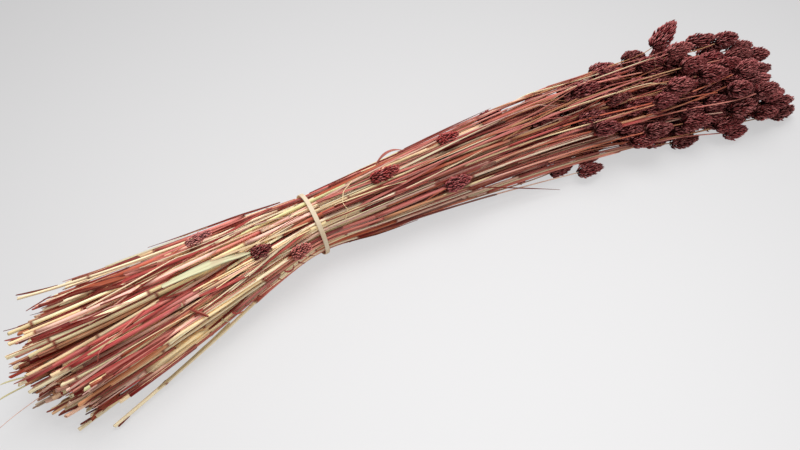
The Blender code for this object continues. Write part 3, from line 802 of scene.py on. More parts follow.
def add_culm(skin, stalk, cols, step):
    """The jointed straw: a tube that swells at each joint and has a hollow in its cut end.

    Rings stand every step and at five places round each joint. Each run between joints has a shade of its
    own, which darkens towards the joint, and the last one warms towards the head.
    """
    rng = stalk.rng
    x = np.arange(stalk.start + 0.5 * step, stalk.neck + 0.004, step)
    for joint in stalk.joints:
        x = np.concatenate([x[np.abs(x - joint) > JOINT_ROOM], joint + JOINT_STEPS])
    x = np.sort(np.concatenate([[stalk.start, stalk.start + 0.0006], x]))
    radii = stalk.radius(x)
    edges = np.concatenate([[stalk.start], stalk.joints, [stalk.neck]])
    shades = np.array([shade_of(rng, *CULM_SHADES, place) for place in 0.5 * (edges[1:] + edges[:-1])])
    if stalk.bare:
        shades[:2] = SHADES["cream"] * rng.uniform(0.90, 1.0, (2, 1))
    tint = shades[np.searchsorted(stalk.joints, x)]
    warm = np.clip((x - stalk.neck + WARM_FROM) / WARM_REACH, 0, 1)[:, None]
    tint = tint * (1 - warm) + shade_of(rng, *NECK_SHADES) * warm
    for joint in stalk.joints:
        radii = radii * (1 + JOINT_SWELL * np.exp(-((x - joint) / SWELL_REACH) ** 2))
        dark = RING_DARK * np.exp(-((x - joint) / RING_REACH) ** 2)[:, None]
        tint = tint * (1 - dark) + dark * SHADES["maroon"]
        shaded = np.exp(-np.clip((x - joint) / FOOT_REACH, 0, None)) * (x > joint)
        tint = tint * (1 - FOOT_DARK * shaded[:, None])
    radii[0] *= 0.93
    angle = round_section(cols)
    slant = np.zeros((len(x), cols))
    slant[:2] = rng.uniform(0.0001, 0.0014) * np.cos(angle - rng.uniform(0, 6.28))
    slant[:2] += rng.uniform(-1, 1, cols) * CUT_RAGGED
    oval = 1 + rng.uniform(0, 0.10) * np.cos(2 * (angle - rng.uniform(0, 3.14)))
    oval = oval + 0.03 * rng.uniform(-1, 1, cols)
    outside = stalk.tube(x, radii, cols, oval[None], slant)
    hollow = stalk.start + HOLLOW_PLACES
    inside = stalk.tube(hollow, radii[1] * HOLLOW_SHARES, cols, oval[None], slant[:2] * 0.8)[::-1]
    # painted shadow: the hollow is painted nearly black deep down and darker at its lip; the outside takes
    # the painted depth shade
    tint = np.concatenate([[SHADES["painted hollow shadow"], 0.62 * tint[0]], tint * stalk.painted_shade])
    ends = stalk.at(np.array([hollow[1], x[-1]]))
    rings = np.concatenate([inside, outside])
    skin.add(rings[None], ends[:1], ends[1:], tint[None, :, None], STRAW, stalk.neck - stalk.start)


def add_sheath(skin, stalk, joint, end, cols, shade):
    """A dry leaf sheath that wraps the straw from a joint up, in a tube closed on the straw at both ends.

    Its section winds outward once round, so its free edge shows as a step along it, and it has ribs. Its
    end is cut slantwise and torn, and stands a little open.
    """
    rng = stalk.rng
    length = end - joint
    rows = max(5, int(length / SHEATH_STEP) + 3)
    part = np.linspace(0, 1, rows) ** 0.9
    angle = round_section(cols)
    x = joint + part * length
    loose = rng.uniform(*SHEATH_LOOSE)
    flare = rng.uniform(0.0, SHEATH_FLARE) * rng.uniform(0, 1)
    collar = COLLAR_SWELL * np.exp(-part * length / COLLAR_REACH)
    radii = stalk.radius(x) + loose + collar + flare * part ** 8
    wound = (np.arange(cols) + int(rng.integers(cols))) % cols / cols
    shape = 1 + 0.18 * (wound - 0.5) + 0.07 * rng.uniform(-1, 1) * np.cos(2 * angle)
    shape = shape + 0.05 * rng.uniform(-1, 1, cols)
    torn = rng.uniform(*SHEATH_SLANT) * np.cos(angle - rng.uniform(0, 6.28))
    torn += rng.uniform(-1, 1, cols) * rng.uniform(*SHEATH_TEAR)
    rings = stalk.tube(x, radii, cols, shape[None], part[:, None] ** 6 * torn)
    ends = x[[0, -1]]
    closing = stalk.tube(ends, 0.85 * stalk.radius(ends), cols, None, np.stack([0 * torn, torn - 0.0002]))
    rings = np.concatenate([closing[:1], rings, closing[1:]])
    fade = rng.uniform(-0.30, 0.45)
    dark = 0.6 * np.exp(-part * length / 0.005)[:, None]
    tint = shade * (1 + fade * part[:, None]) + 0.05 * part[:, None]
    tint = tint * (1 - dark) + dark * SHADES["maroon"]
    # painted shade: the torn rim and the faces where the sheath closes onto the culm are painted darker, as
    # shade in that crease
    tint[-1] = tint[-1] * 0.62
    tint = np.concatenate([tint[:1] * 0.5, tint, tint[-1:] * 0.35]) * stalk.painted_shade
    poles = stalk.at(ends)
    skin.add(rings[None], poles[:1], poles[1:], tint[None, :, None], STRAW, length)


def add_sheaths(skin, stalk, cols):
    """Sheaths on the joints, and on the piece below the first joint where the cut left one."""
    rng = stalk.rng
    edges = np.concatenate([[stalk.start - 0.05], stalk.joints, [stalk.neck]])
    for k, (joint, following) in enumerate(zip(edges[:-1], edges[1:])):
        last = k == len(edges) - 2
        chance = np.interp(joint, list(SHEATH_CHANCE), list(SHEATH_CHANCE.values()))
        chance = LAST_SHEATH_CHANCE if last else chance
        if rng.uniform() > chance or stalk.bare and k < 2:
            continue
        share = rng.uniform(0.30, 0.72) if last else rng.choice([rng.uniform(0.25, 0.9), 0.985])
        end = joint + share * (following - joint)
        joint += 0.0007 if k else stalk.start - joint + rng.uniform(0.0004, 0.008)
        if end - joint > SHORTEST_SHEATH:
            shade = shade_of(rng, *SHEATH_SHADES, 0.5 * (joint + end))
            add_sheath(skin, stalk, joint, min(end, stalk.neck - SHEATH_CLEAR), cols, shade)


def add_head(skin, stalk, spikelets, x0, length, radius, shade):
    """A seed head: pointed, keeled spikelets set round the stalk by the golden angle, over a core painted
    as shade.

    The tips lie on an egg whose half width at share p of the length is the radius times
    sin(pi p^0.75)^0.6. Each spikelet runs from nearer the stalk to its tip as a three-sided body of two
    rings between two points, widest below the middle, with its keel outward. Some stand out further.
    """
    rng = stalk.rng
    # painted shade: the core is painted at half the head's shade, so the gaps between spikelets read as
    # shadow
    core = stalk.tube(x0 + length * CORE_PLACES, radius * CORE_SHARES, 6)
    ends = stalk.at(x0 + length * np.array([0.0, 0.95]))
    skin.add(core[None], ends[:1], ends[1:], 0.50 * shade, HUSK, 0.3)
    share = (np.arange(spikelets) + 0.5) / spikelets
    tip_at = 0.13 + 0.89 * share ** 0.95 + rng.uniform(-1, 1, spikelets) * 0.015
    bulge = np.clip(np.sin(math.pi * np.clip(tip_at, 0, 0.985) ** 0.75), 0.02, 1) ** 0.6
    stands_out = STANDS_OUT * rng.uniform(size=spikelets) ** 2.2
    tip_out = radius * bulge * (1 + 0.06 * rng.normal(size=spikelets)) + stands_out
    size = rng.uniform(*HUSK_LENGTHS, spikelets) * (1 - 0.15 * share) * length / LENGTH_FOR
    base_at = tip_at - 0.92 * size / length
    base_out = 0.60 * tip_out * np.clip(base_at / 0.15 + 0.35, 0.25, 1)
    turn = np.arange(spikelets) * math.pi * (3 - math.sqrt(5)) + rng.normal(size=spikelets) * 0.08
    _, side, up = [axis.mean(axis=0) for axis in axes_along(stalk.at(x0 + length * np.linspace(0, 1, 5)))]
    out = spokes(turn, side, up)
    base = stalk.at(x0 + length * np.clip(base_at, 0.0, 1)) + base_out[:, None] * out
    tip = stalk.at(x0 + length * np.clip(tip_at, 0.0, 1.05)) + tip_out[:, None] * out
    along = unit(tip - base)
    wide = unit(unit(np.cross(along, out)) + 0.25 * rng.normal(size=(spikelets, 1)) * out)
    keel = np.cross(wide, along)
    keel = keel * np.sign(np.sum(keel * out, axis=1))[:, None]
    reach = np.linalg.norm(tip - base, axis=1)
    spread = (radius / RADIUS_FOR) * np.sqrt(HUSKS_FOR / spikelets)
    centre = base[:, None] + (reach[:, None] * HUSK_RINGS)[..., None] * along[:, None]
    centre = centre + HUSK_RISE[:, None] * keel[:, None]
    edge = (spread * HUSK_HALVES)[:, None] * wide[:, None]
    ridge = (spread * HUSK_KEELS)[:, None] * keel[:, None]
    rings = np.stack([centre + edge - 0.35 * ridge, centre + ridge, centre - edge - 0.35 * ridge], axis=2)
    corners = rings[0, 0]
    if np.sum(np.cross(corners[1] - corners[0], corners[2] - corners[0]) * along[0]) < 0:
        rings = rings[:, :, ::-1]
    tint = shade * (0.62 + 0.56 * rng.uniform(0, 1, (spikelets, 1)))
    faded = PALEST_HUSK * rng.uniform(0, 1, (spikelets, 1)) ** 4
    tint = tint * (1 - faded) + faded * SHADES["husk pink"]
    skin.add(rings, base, tip, tint[:, None, None], HUSK, 1.0, small=True)


def add_strip(skin, points, widths, thickness, tint, finish, twist=0.0, cup=0.15):
    """A thin blade carried along points, with a flat six-sided section that is cupped upward."""
    ahead, side, up = axes_along(points)
    roll = (twist * np.linspace(0, 1, len(points)))[:, None]
    side, up = np.cos(roll) * side + np.sin(roll) * up, np.cos(roll) * up - np.sin(roll) * side
    across = np.array([1.0, 0.5, -0.5, -1.0, -0.5, 0.5])
    above = np.array([0.0, 1.0, 1.0, 0.0, -1.0, -1.0])
    half = 0.5 * widths[:, None]
    level = 0.5 * thickness * above + cup * half * (across ** 2 - 0.5)
    rings = points[:, None] + (half * across)[..., None] * side[:, None] + level[..., None] * up[:, None]
    first, last = points[:1] - 0.0003 * ahead[:1], points[-1:] + 0.0008 * ahead[-1:]
    skin.add(rings[None], first, last, tint, finish, run_length(points))


def add_rod(skin, points, radii, cols, tint, finish):
    """A round twig or fibre carried along points."""
    _, side, up = axes_along(points)
    rings = points[:, None] + radii[:, None, None] * spokes(round_section(cols), side[:, None], up[:, None])
    skin.add(rings[None], points[:1], points[-1:], tint, finish, run_length(points))


def add_shreds(skin, stalk, count, widest):
    """Torn strips of dry sheath that lie along the stalk, wind a little round it and lift at one end."""
    rng = stalk.rng
    part = np.linspace(0, 1, 9)
    for _ in range(count):
        length = rng.uniform(*SHRED_LENGTHS)
        x0 = rng.uniform(stalk.start + 0.002, stalk.neck - 0.10 - length)
        if x0 < BAND_REACH and x0 + length > -BAND_REACH:
            x0 = BAND_REACH
        x = x0 + length * part
        middle = stalk.at(x)
        _, side, up = axes_along(middle)
        angle = rng.uniform(0.15, math.pi - 0.15) + rng.uniform(-0.7, 0.7) * part
        lift = stalk.radius(x) + SHRED_ROOM + rng.uniform(0.0, SHRED_LIFT) * part ** 2
        points = middle + lift[:, None] * spokes(angle, side, up)
        ragged = np.interp(part, [0, 0.2, 0.7, 1], [0.6, 1, 0.85, rng.uniform(0.1, 0.7)])
        width = rng.uniform(NARROWEST, widest) * ragged * (1 + 0.15 * rng.uniform(-1, 1, 9))
        # painted shade: darker and redder deep in the bundle
        shade = shade_of(rng, *SHRED_SHADES, x0) * stalk.painted_shade
        add_strip(skin, points, width, SHRED_THICKNESS, shade, LEAF, rng.uniform(-1.2, 1.2), SHRED_CUP)


def add_splinters(skin, stalk, count):
    """Frayed ends of sheath at the cut, which stand off the stalk towards their points."""
    rng = stalk.rng
    part = np.linspace(0, 1, 6)
    for _ in range(count):
        length = rng.uniform(*SPLINTER_LENGTHS)
        x = stalk.start + length * (1 - part) - rng.uniform(*SPLINTER_OVERHANG) * part
        middle = stalk.at(x)
        _, side, up = axes_along(middle)
        angle = rng.uniform(-0.3, math.pi + 0.3)
        lift = stalk.radius(x) + SPLINTER_ROOM + rng.uniform(*SPLINTER_LIFT) * part ** 2
        points = middle + lift[:, None] * spokes(angle, side, up)
        width = rng.uniform(NARROWEST, WIDEST_SPLINTER)
        width = width * np.interp(part, [0, 0.6, 1], [0.5, 1.0, rng.uniform(0.3, 0.9)])
        # painted shade: darker and redder deep in the bundle
        shade = shade_of(rng, *SHEATH_SHADES, -0.2) * 0.8 * stalk.painted_shade
        add_strip(skin, points, width, SHRED_THICKNESS, shade, LEAF, rng.uniform(-0.6, 0.6), SHRED_CUP)


def dress_stalk(skin, stalk, cols, step, spikelets, shreds, widest):
    """Adds everything that one stalk has, from its culm to its seed head, to a piece."""
    add_culm(skin, stalk, cols, step)
    add_sheaths(skin, stalk, cols + 2)
    add_shreds(skin, stalk, shreds, widest)
    add_splinters(skin, stalk, 1)
    shade = shade_of(stalk.rng, *HEAD_SHADES)
    add_head(skin, stalk, spikelets, stalk.neck, stalk.head_length, stalk.head_radius, shade)


# ---- finishes -----------------------------------------------------------------------------------------

class Value:
    """A number socket that takes arithmetic: each operator adds a Math node."""

    def __init__(self, nodes, socket):
        self.nodes = nodes
        self.socket = socket

    def math(self, operation, *values):
        """A Math node on one or two values."""
        return self.nodes.add("ShaderNodeMath", {"operation": operation}, dict(enumerate(values)))

    def __add__(self, other): return self.math("ADD", self, other)
    def __radd__(self, other): return self.math("ADD", other, self)
    def __sub__(self, other): return self.math("SUBTRACT", self, other)
    def __rsub__(self, other): return self.math("SUBTRACT", other, self)
    def __mul__(self, other): return self.math("MULTIPLY", self, other)
    def __rmul__(self, other): return self.math("MULTIPLY", other, self)
    def __abs__(self): return self.math("ABSOLUTE", self)


class Finish:
    """A material built from nodes."""

    def __init__(self, name, **constants):
        self.material = bpy.data.materials.new(name)
        self.material.use_nodes = True
        self.tree = self.material.node_tree
        self.shader = self.tree.nodes["Principled BSDF"]
        for socket, value in constants.items():
            self.shader.inputs[socket.replace("_", " ")].default_value = value

    def add(self, kind, settings=None, sockets=None, out=0):
        """Adds a node with its settings, then what its sockets take, and gives one of its outputs."""
        node = self.tree.nodes.new(kind)
        for name, value in (settings or {}).items():
            setattr(node, name, value)
        for key, value in (sockets or {}).items():
            self.join(value, node.inputs[key])
        return Value(self, node.outputs[out])

    def join(self, value, socket):
        """Links a value to a socket, or sets the socket to a plain number or colour."""
        if isinstance(value, Value):
            self.tree.links.new(value.socket, socket)
        else:
            socket.default_value = value

    def feed(self, **values):
        """Joins values to the shader's sockets by their names."""
        for name, value in values.items():
            self.join(value, self.shader.inputs[name.replace("_", " ")])

    def ramp(self, value, low, high):
        """0 below low, 1 above high, smooth between."""
        return self.add("ShaderNodeMapRange", {"interpolation_type": "SMOOTHSTEP"},
                        {"Value": value, "From Min": low, "From Max": high})

    def mix(self, share, one, other, blend="MIX"):
        """Mixes two colours by share."""
        node = self.tree.nodes.new("ShaderNodeMix")
        node.data_type = "RGBA"
        node.blend_type = blend
        node.clamp_result = blend != "MIX"
        self.join(share, node.inputs[0])
        for colour, socket in ((one, node.inputs[6]), (other, node.inputs[7])):
            self.join(colour if isinstance(colour, Value) else (*colour, 1.0), socket)
        return Value(self, node.outputs[2])

    def brighten(self, colour, level):
        """Multiplies a colour by a number that varies."""
        return self.add("ShaderNodeVectorMath", {"operation": "SCALE"}, {0: colour, "Scale": level})

    def grain(self):
        """The piece's own map: along it, and round it."""
        uv = self.add("ShaderNodeUVMap", {"uv_map": "grain"})
        split = self.add("ShaderNodeSeparateXYZ", None, {0: uv})
        return split, Value(self, split.socket.node.outputs[1])

    def tint(self):
        """The colour that each part of the piece was given."""
        return self.add("ShaderNodeAttribute", {"attribute_name": "tint"})

    def noise(self, along, around, extra, detail):
        """Noise over a place given by three numbers."""
        place = self.add("ShaderNodeCombineXYZ", None, {0: along, 1: around, 2: extra})
        sockets = {"Vector": place, "Scale": 1.0, "Detail": detail, "Roughness": 0.55}
        return self.add("ShaderNodeTexNoise", None, sockets)

    def place(self):
        """The place in space."""
        return self.add("ShaderNodeTexCoord", out=3)

    def cloud(self, scale, detail=2.0):
        """Noise over the place in space."""
        sockets = {"Vector": self.place(), "Scale": scale, "Detail": detail}
        return self.add("ShaderNodeTexNoise", None, sockets)

    def distance(self):
        """The place along the bundle, from the band."""
        return self.add("ShaderNodeSeparateXYZ", None, {0: self.place()}) - BAND_X

    def bump(self, height, strength, distance):
        """A relief that rises by the distance over the height from 0 to 1."""
        sockets = {"Height": height, "Strength": strength, "Distance": distance}
        return self.add("ShaderNodeBump", None, sockets)


def straw_finish():
    """Dyed straw: streaks of bare straw and of dye, and fine fibres darkened redder, partly as painted
    shade.
    """
    finish = Finish("dyed straw", IOR=1.45, Specular_IOR_Level=0.08)
    along, around = finish.grain()
    patch = finish.cloud(38.0)
    fine = finish.noise(along * 60, around * 11, patch * 3, 3.0)
    broad = finish.noise(along * 16, around * 4, patch * 2, 2.0)
    streak = finish.noise(along * 20, around * 5, patch * 2 + 7, 2.0)
    line = finish.noise(along * 14, around * 13, patch * 2, 1.0)
    dyed = finish.ramp(finish.distance(), DYE_FROM, DYE_TO)
    tint = finish.tint()
    paler = finish.mix(0.30, finish.brighten(tint, 1.25), SHADES["cream"])
    colour = finish.mix(finish.ramp(streak, 0.50, 0.64) * 0.70, tint, paler)
    taken = finish.ramp(streak, 0.47, 0.33) * (0.22 + 0.40 * dyed)
    colour = finish.mix(taken, colour, finish.mix(0.50, colour, SHADES["rose"]))
    colour = finish.mix(finish.ramp(line, 0.53, 0.66) * 0.60, colour, paler)
    # partly painted shade: the fine fibres are darkened towards maroon, as the straw's grain and as
    # red-tinged shade
    fibre = finish.ramp(fine, 0.47, 0.32) * (0.36 + 0.36 * dyed)
    colour = finish.mix(fibre, colour, finish.mix(0.60, colour, SHADES["maroon"]))
    # the straw's colour grows lighter past the cut ends
    lightened = finish.ramp(finish.distance(), LIGHTEN_FROM, LIGHTEN_TO)
    colour = finish.brighten(colour, 0.94 + 0.27 * lightened - 0.41 * dyed + 0.36 * broad + 0.24 * fine)
    finish.feed(Base_Color=colour, Roughness=0.50 + 0.34 * fine, Normal=finish.bump(fine, 0.55, 0.0004))
    return finish.material


def spikelet_finish():
    """Dyed husks: dark sides, fine nerves, pink keel and tip partly painted highlight, base painted as
    shade.
    """
    finish = Finish("dyed husk", IOR=1.45, Specular_IOR_Level=0.12)
    along, around = finish.grain()
    patch = finish.cloud(240.0)
    from_keel = abs(around * 3 - 1)
    # partly painted highlight: the keel is pink, as a paler margin and as light caught on the ridge
    keel = finish.ramp(from_keel, 0.50, 0.08) * finish.ramp(along, 0.15, 0.50)
    nerve = finish.noise(along * 2.0, around * 26, patch * 5, 2.0)
    tint = finish.tint()
    pink = finish.mix(0.55, finish.brighten(tint, 1.9), SHADES["husk pink"])
    # partly painted highlight: patches where keel and tip are pinker, as paler husk and as glints of light
    pale_and_glint = finish.ramp(patch, 0.42, 0.60)
    colour = finish.mix(keel * (0.12 + 0.70 * pale_and_glint), finish.brighten(tint, 0.80), pink)
    # partly painted highlight: the tip is pink, as a paler margin and as light caught on it
    colour = finish.mix(finish.ramp(along, 0.72, 0.92) * (0.30 + 0.60 * pale_and_glint), colour, pink)
    # painted shade: each husk is darker towards its base, where the next husks shade it
    colour = finish.brighten(colour, finish.ramp(along, 0.15, 0.70) * 0.86 + 0.34)
    finish.feed(Base_Color=colour, Roughness=0.50 + 0.3 * nerve, Normal=finish.bump(nerve, 0.5, 0.0005))
    return finish.material


def leaf_finish():
    """A torn dry blade: close veins with paler straw showing between them, and a mottled dye."""
    finish = Finish("dry leaf", IOR=1.45, Specular_IOR_Level=0.08)
    along, around = finish.grain()
    patch = finish.cloud(60.0)
    vein = finish.noise(along * 26, around * 22, 0.0, 2.0)
    streak = finish.noise(along * 12, around * 9, patch, 1.0)
    tint = finish.tint()
    colour = tint
    for share, depth, shade in ((finish.ramp(vein, 0.48, 0.66) * 0.6, 0.42, "cream"),
                                (finish.ramp(streak, 0.50, 0.34) * 0.6, 0.55, "maroon"),
                                (finish.ramp(patch, 0.52, 0.70) * 0.4, 0.50, "rose")):
        colour = finish.mix(share, colour, finish.mix(depth, tint, SHADES[shade]))
    colour = finish.brighten(colour, 0.72 + 0.5 * vein)
    finish.feed(Base_Color=colour, Roughness=0.5 + 0.3 * vein, Normal=finish.bump(vein, 0.5, 0.0003))
    return finish.material


def rubber_finish():
    """Cream rubber, matt and faintly grainy, yellower in patches."""
    finish = Finish("cream rubber", IOR=1.5, Specular_IOR_Level=0.45)
    grain = finish.cloud(900.0, 3.0)
    patch = finish.cloud(60.0)
    colour = finish.mix(finish.ramp(patch, 0.40, 0.65), (0.80, 0.66, 0.48), (0.72, 0.56, 0.37))
    colour = finish.brighten(colour, 0.86 + 0.22 * grain)
    finish.feed(Base_Color=colour, Roughness=0.5 + 0.25 * grain, Normal=finish.bump(grain, 0.3, 0.0004))
    return finish.material


# ---- loose pieces and the band ------------------------------------------------------------------------

RUN_SHARES = (-0.80, 0.70)      # loose pieces lie between these shares of the bundle's half width
STRAWS, RIBBONS, SCRAPS = 36, 40, 9
STRAW_FEET, STRAW_LENGTHS, STRAW_TURN = (-0.22, 0.24), (0.05, 0.13), 0.28
RIBBON_FEET, RIBBON_LENGTHS, RIBBON_TURN = (-0.235, 0.25), (0.04, 0.12), 0.30
SCRAP_FEET, SCRAP_SIZES, SCRAP_WIDTHS = (-0.095, -0.016), (0.0009, 0.0020), (0.0010, 0.0020)
STRAW_RADII = (0.00028, 0.00060)
RIBBON_WIDTHS = (0.0010, 0.0030)
RIBBON_THICKNESS = 0.00025
SIDE_HUSKS = 140
SIDE_BRIGHT = 1.4               # side heads are this much brighter than their shade
STEM_RADIUS, STEM_LENGTH, STEM_DIP = 0.0004, 0.022, 0.005
STRAY_THICKNESS = 0.00028
BAND_SECTION, BAND_ROUND = 12, 96       # points of the band's section, and steps round it


def straight_run(rng, x0, length, turn, count):
    """Points of a straight run on the ground plan that keeps off the band and near its place in the fan."""
    if x0 < BAND_REACH and x0 + length > -BAND_REACH:
        x0 += BAND_REACH - x0 if rng.uniform() < 0.5 else -BAND_REACH - length - x0
    half, _, shift = outline_at(x0)
    share = rng.uniform(*RUN_SHARES)
    y0 = shift + half * share
    half, _, shift = outline_at(x0 + length)
    y1 = shift + half * np.clip(share + rng.uniform(-turn, turn), *RUN_SHARES)
    places = np.linspace(x0, x0 + length, count), np.linspace(y0, y1, count), np.zeros(count)
    return np.stack(places, axis=1)


def lay_straws():
    """Thin loose straws across the top of the bundle, laid on the stalks."""
    rng = np.random.default_rng([SEED, 11])
    skin = Skin()
    for _ in range(STRAWS):
        points = straight_run(rng, rng.uniform(*STRAW_FEET), rng.uniform(*STRAW_LENGTHS), STRAW_TURN, 16)
        radius = rng.uniform(*STRAW_RADII)
        shade = shade_of(rng, *STRAW_SHADES, points[0, 0])
        points = lay_on_stalks(plan, bends, points, radius + 0.0003) + BAND_PLACE
        add_rod(skin, points, radius * np.linspace(1.1, 0.7, 16), 5, shade, STRAW)
    return skin.mesh("loose_straws", [STRAW])


def lay_ribbons():
    """Wide torn sheaths that lie over the stalks at slight angles: cupped strips with ragged widths."""
    rng = np.random.default_rng([SEED, 17])
    skin = Skin()
    for _ in range(RIBBONS):
        points = straight_run(rng, rng.uniform(*RIBBON_FEET), rng.uniform(*RIBBON_LENGTHS), RIBBON_TURN, 18)
        width = rng.uniform(*RIBBON_WIDTHS) * np.interp(points[0, 0], (0.0, 0.2), (1.0, 0.7))
        shade = shade_of(rng, *SHRED_SHADES, points[0, 0])
        points = lay_on_stalks(plan, bends, points, 0.0002, 0.3 * width) + BAND_PLACE
        ragged = shares_along(18, [0, 0.1, 0.8, 1], [0.3, 1.0, 0.8, rng.uniform(0.1, 0.6)])
        ragged = ragged * (1 + 0.12 * rng.uniform(-1, 1, 18))
        twist = rng.uniform(-0.5, 0.5)
        add_strip(skin, points, width * ragged, RIBBON_THICKNESS, shade, LEAF, twist, 0.35)
    return skin.mesh("torn_sheaths", [LEAF])


# small seed heads on side shoots: place along and across from the band, length, radius and shade
SIDE_HEADS = (
    (0.0677, -0.0011, 0.027, 0.0046, "cherry"),
    (0.1235, -0.0268, 0.024, 0.0054, "berry"),
    (0.1324, 0.0096, 0.021, 0.0044, "cherry"),
    (-0.0882, 0.0068, 0.023, 0.0030, "husk pink"),
    (-0.0484, -0.0264, 0.017, 0.0046, "plum"),
    (-0.0194, -0.0322, 0.018, 0.0048, "rose"),
)


def lay_side_heads():
    """Each side head lies half sunk between the stalks, with a short stem that dips in behind it."""
    skin = Skin()
    for number, (x, y, length, radius, shade) in enumerate(SIDE_HEADS):
        across = y + np.linspace(-0.5, 0.5, 5) * radius
        top = np.max(top_of_stalks(plan, bends, np.full(5, x), across, 0.0))
        lean = (outline_at(x + 0.01)[2] - outline_at(x - 0.01)[2]) / 0.02
        sprig = Sprig(np.array([x, y, top + 0.30 * radius]) + BAND_PLACE, (1.0, lean, 0.06), number)
        add_head(skin, sprig, SIDE_HUSKS, -0.5 * length, length, radius, SIDE_BRIGHT * SHADES[shade])
        points = sprig.at(np.linspace(-0.5 * length - STEM_LENGTH, -0.45 * length, 8))
        points = points + np.array([0.0, 0.0, -1.0]) * (np.linspace(1, 0, 8) ** 2 * STEM_DIP)[:, None]
        add_rod(skin, points, np.full(8, STEM_RADIUS), 5, SHADES["brick"], STRAW)
    return skin.mesh("side_shoots", [STRAW, HUSK])


# single strips and stems that stand out: shade, width and points from the band
STRAY_STRIPS = (
    ("cherry", 0.0034, ((-0.1025, -0.0437, 0.0), (-0.078, -0.0405, 0.0), (-0.0534, -0.0368, 0.0))),
    ("rose", 0.0030, ((-0.190, -0.030, 0.0), (-0.150, -0.026, 0.0), (-0.110, -0.020, 0.0))),
    ("brick", 0.0036, ((-0.190, 0.000, 0.0), (-0.168, -0.001, 0.0), (-0.145, -0.003, 0.0))),
    ("maroon", 0.0036, ((-0.2110, 0.003, 0.045), (-0.190, 0.000, 0.0), (-0.165, -0.003, 0.0))),
    ("maroon", 0.0034, ((-0.205, -0.012, 0.0), (-0.180, -0.012, 0.0), (-0.150, -0.012, 0.0))),
    ("maroon", 0.0032, ((-0.2032, 0.003, 0.0), (-0.178, 0.002, 0.0), (-0.148, -0.001, 0.0))),
    ("maroon", 0.0028, ((-0.1970, -0.008, 0.0), (-0.173, -0.012, 0.0), (-0.142, -0.017, 0.0))),
    ("maroon", 0.0026, ((-0.2190, -0.037, 0.0), (-0.191, -0.037, 0.0), (-0.162, -0.036, 0.0))),
    ("maroon", 0.0026, ((-0.1970, -0.0615, 0.0), (-0.173, -0.058, 0.0), (-0.144, -0.053, 0.0))),
    ("cherry", 0.0030, ((-0.1960, -0.0720, 0.0), (-0.176, -0.069, 0.0), (-0.147, -0.064, 0.0))),
    ("maroon", 0.0024, ((-0.1850, -0.0770, 0.0), (-0.162, -0.070, 0.0), (-0.135, -0.062, 0.0))),
    ("maroon", 0.0030, ((-0.1810, -0.0745, 0.0), (-0.152, -0.068, 0.0), (-0.124, -0.061, 0.0))),
    ("rose", 0.0030, ((-0.1780, -0.0720, 0.0), (-0.152, -0.066, 0.0), (-0.127, -0.059, 0.0))),
    ("cherry", 0.0024, ((-0.1740, -0.0750, 0.0), (-0.150, -0.069, 0.0), (-0.127, -0.062, 0.0))),
)
STRAY_STEMS = (
    ("cream", 0.00035, ((-0.1008, -0.0383, 0.0), (-0.075, -0.034, 0.0), (-0.0487, -0.0302, 0.0))),
    ("rose", 0.00055, ((-0.1819, -0.0597, 0.0), (-0.162, -0.048, 0.0), (-0.1414, -0.0370, 0.0))),
)
# the same, past the cut ends or along the surface, where nothing lies under them
FREE_STRIPS = (
    ("maroon", 0.0011, ((-0.2212, 0.0055, 0.0430), (-0.2110, 0.0065, 0.0450), (-0.2014, 0.0076, 0.0470))),
    ("brick", 0.0042, ((-0.2040, -0.0800, 0.0070), (-0.1930, -0.0765, 0.0120), (-0.1780, -0.0720, 0.0150))),
    ("olive", 0.0013, ((-0.2549, -0.0313, 0.0200), (-0.2430, -0.0350, 0.0250), (-0.2250, -0.0400, 0.0280))),
    ("olive", 0.0013, ((-0.2566, -0.0431, 0.0200), (-0.2480, -0.0430, 0.0230), (-0.2250, -0.0425, 0.0260))),
)
FREE_STEMS = (
    ("blush", 0.0007, ((-0.2255, -0.0588, 0.0345), (-0.1990, -0.0550, 0.0440), (-0.1700, -0.0490, 0.0520))),
    ("blush", 0.0003, ((-0.2632, -0.0586, 0.0100), (-0.2450, -0.0580, 0.0200), (-0.2200, -0.0570, 0.0300))),
)


def lay_strays():
    """The single strips and stems, smooth through their points and lifted onto the stalks unless free."""
    skin = Skin()
    taper = shares_along(24, [0, 0.25, 0.8, 1], [0.55, 1.0, 0.9, 0.25])
    for strips, free in ((STRAY_STRIPS, False), (FREE_STRIPS, True)):
        for shade, width, route in strips:
            points = route_points(route, 24)
            if not free:
                points = lay_on_stalks(plan, bends, points, 0.0003, 0.3 * width)
            points = points + BAND_PLACE
            add_strip(skin, points, width * taper, STRAY_THICKNESS, SHADES[shade], LEAF, 0.4, SHRED_CUP)
    for stems, free in ((STRAY_STEMS, False), (FREE_STEMS, True)):
        for shade, radius, route in stems:
            points = route_points(route, 24)
            if not free:
                points = lay_on_stalks(plan, bends, points, radius)
            radii = radius * np.linspace(0.7, 1.0, 24)
            add_rod(skin, points + BAND_PLACE, radii, 6, SHADES[shade], STRAW)
    return skin.mesh("stray_stems", [STRAW, LEAF])


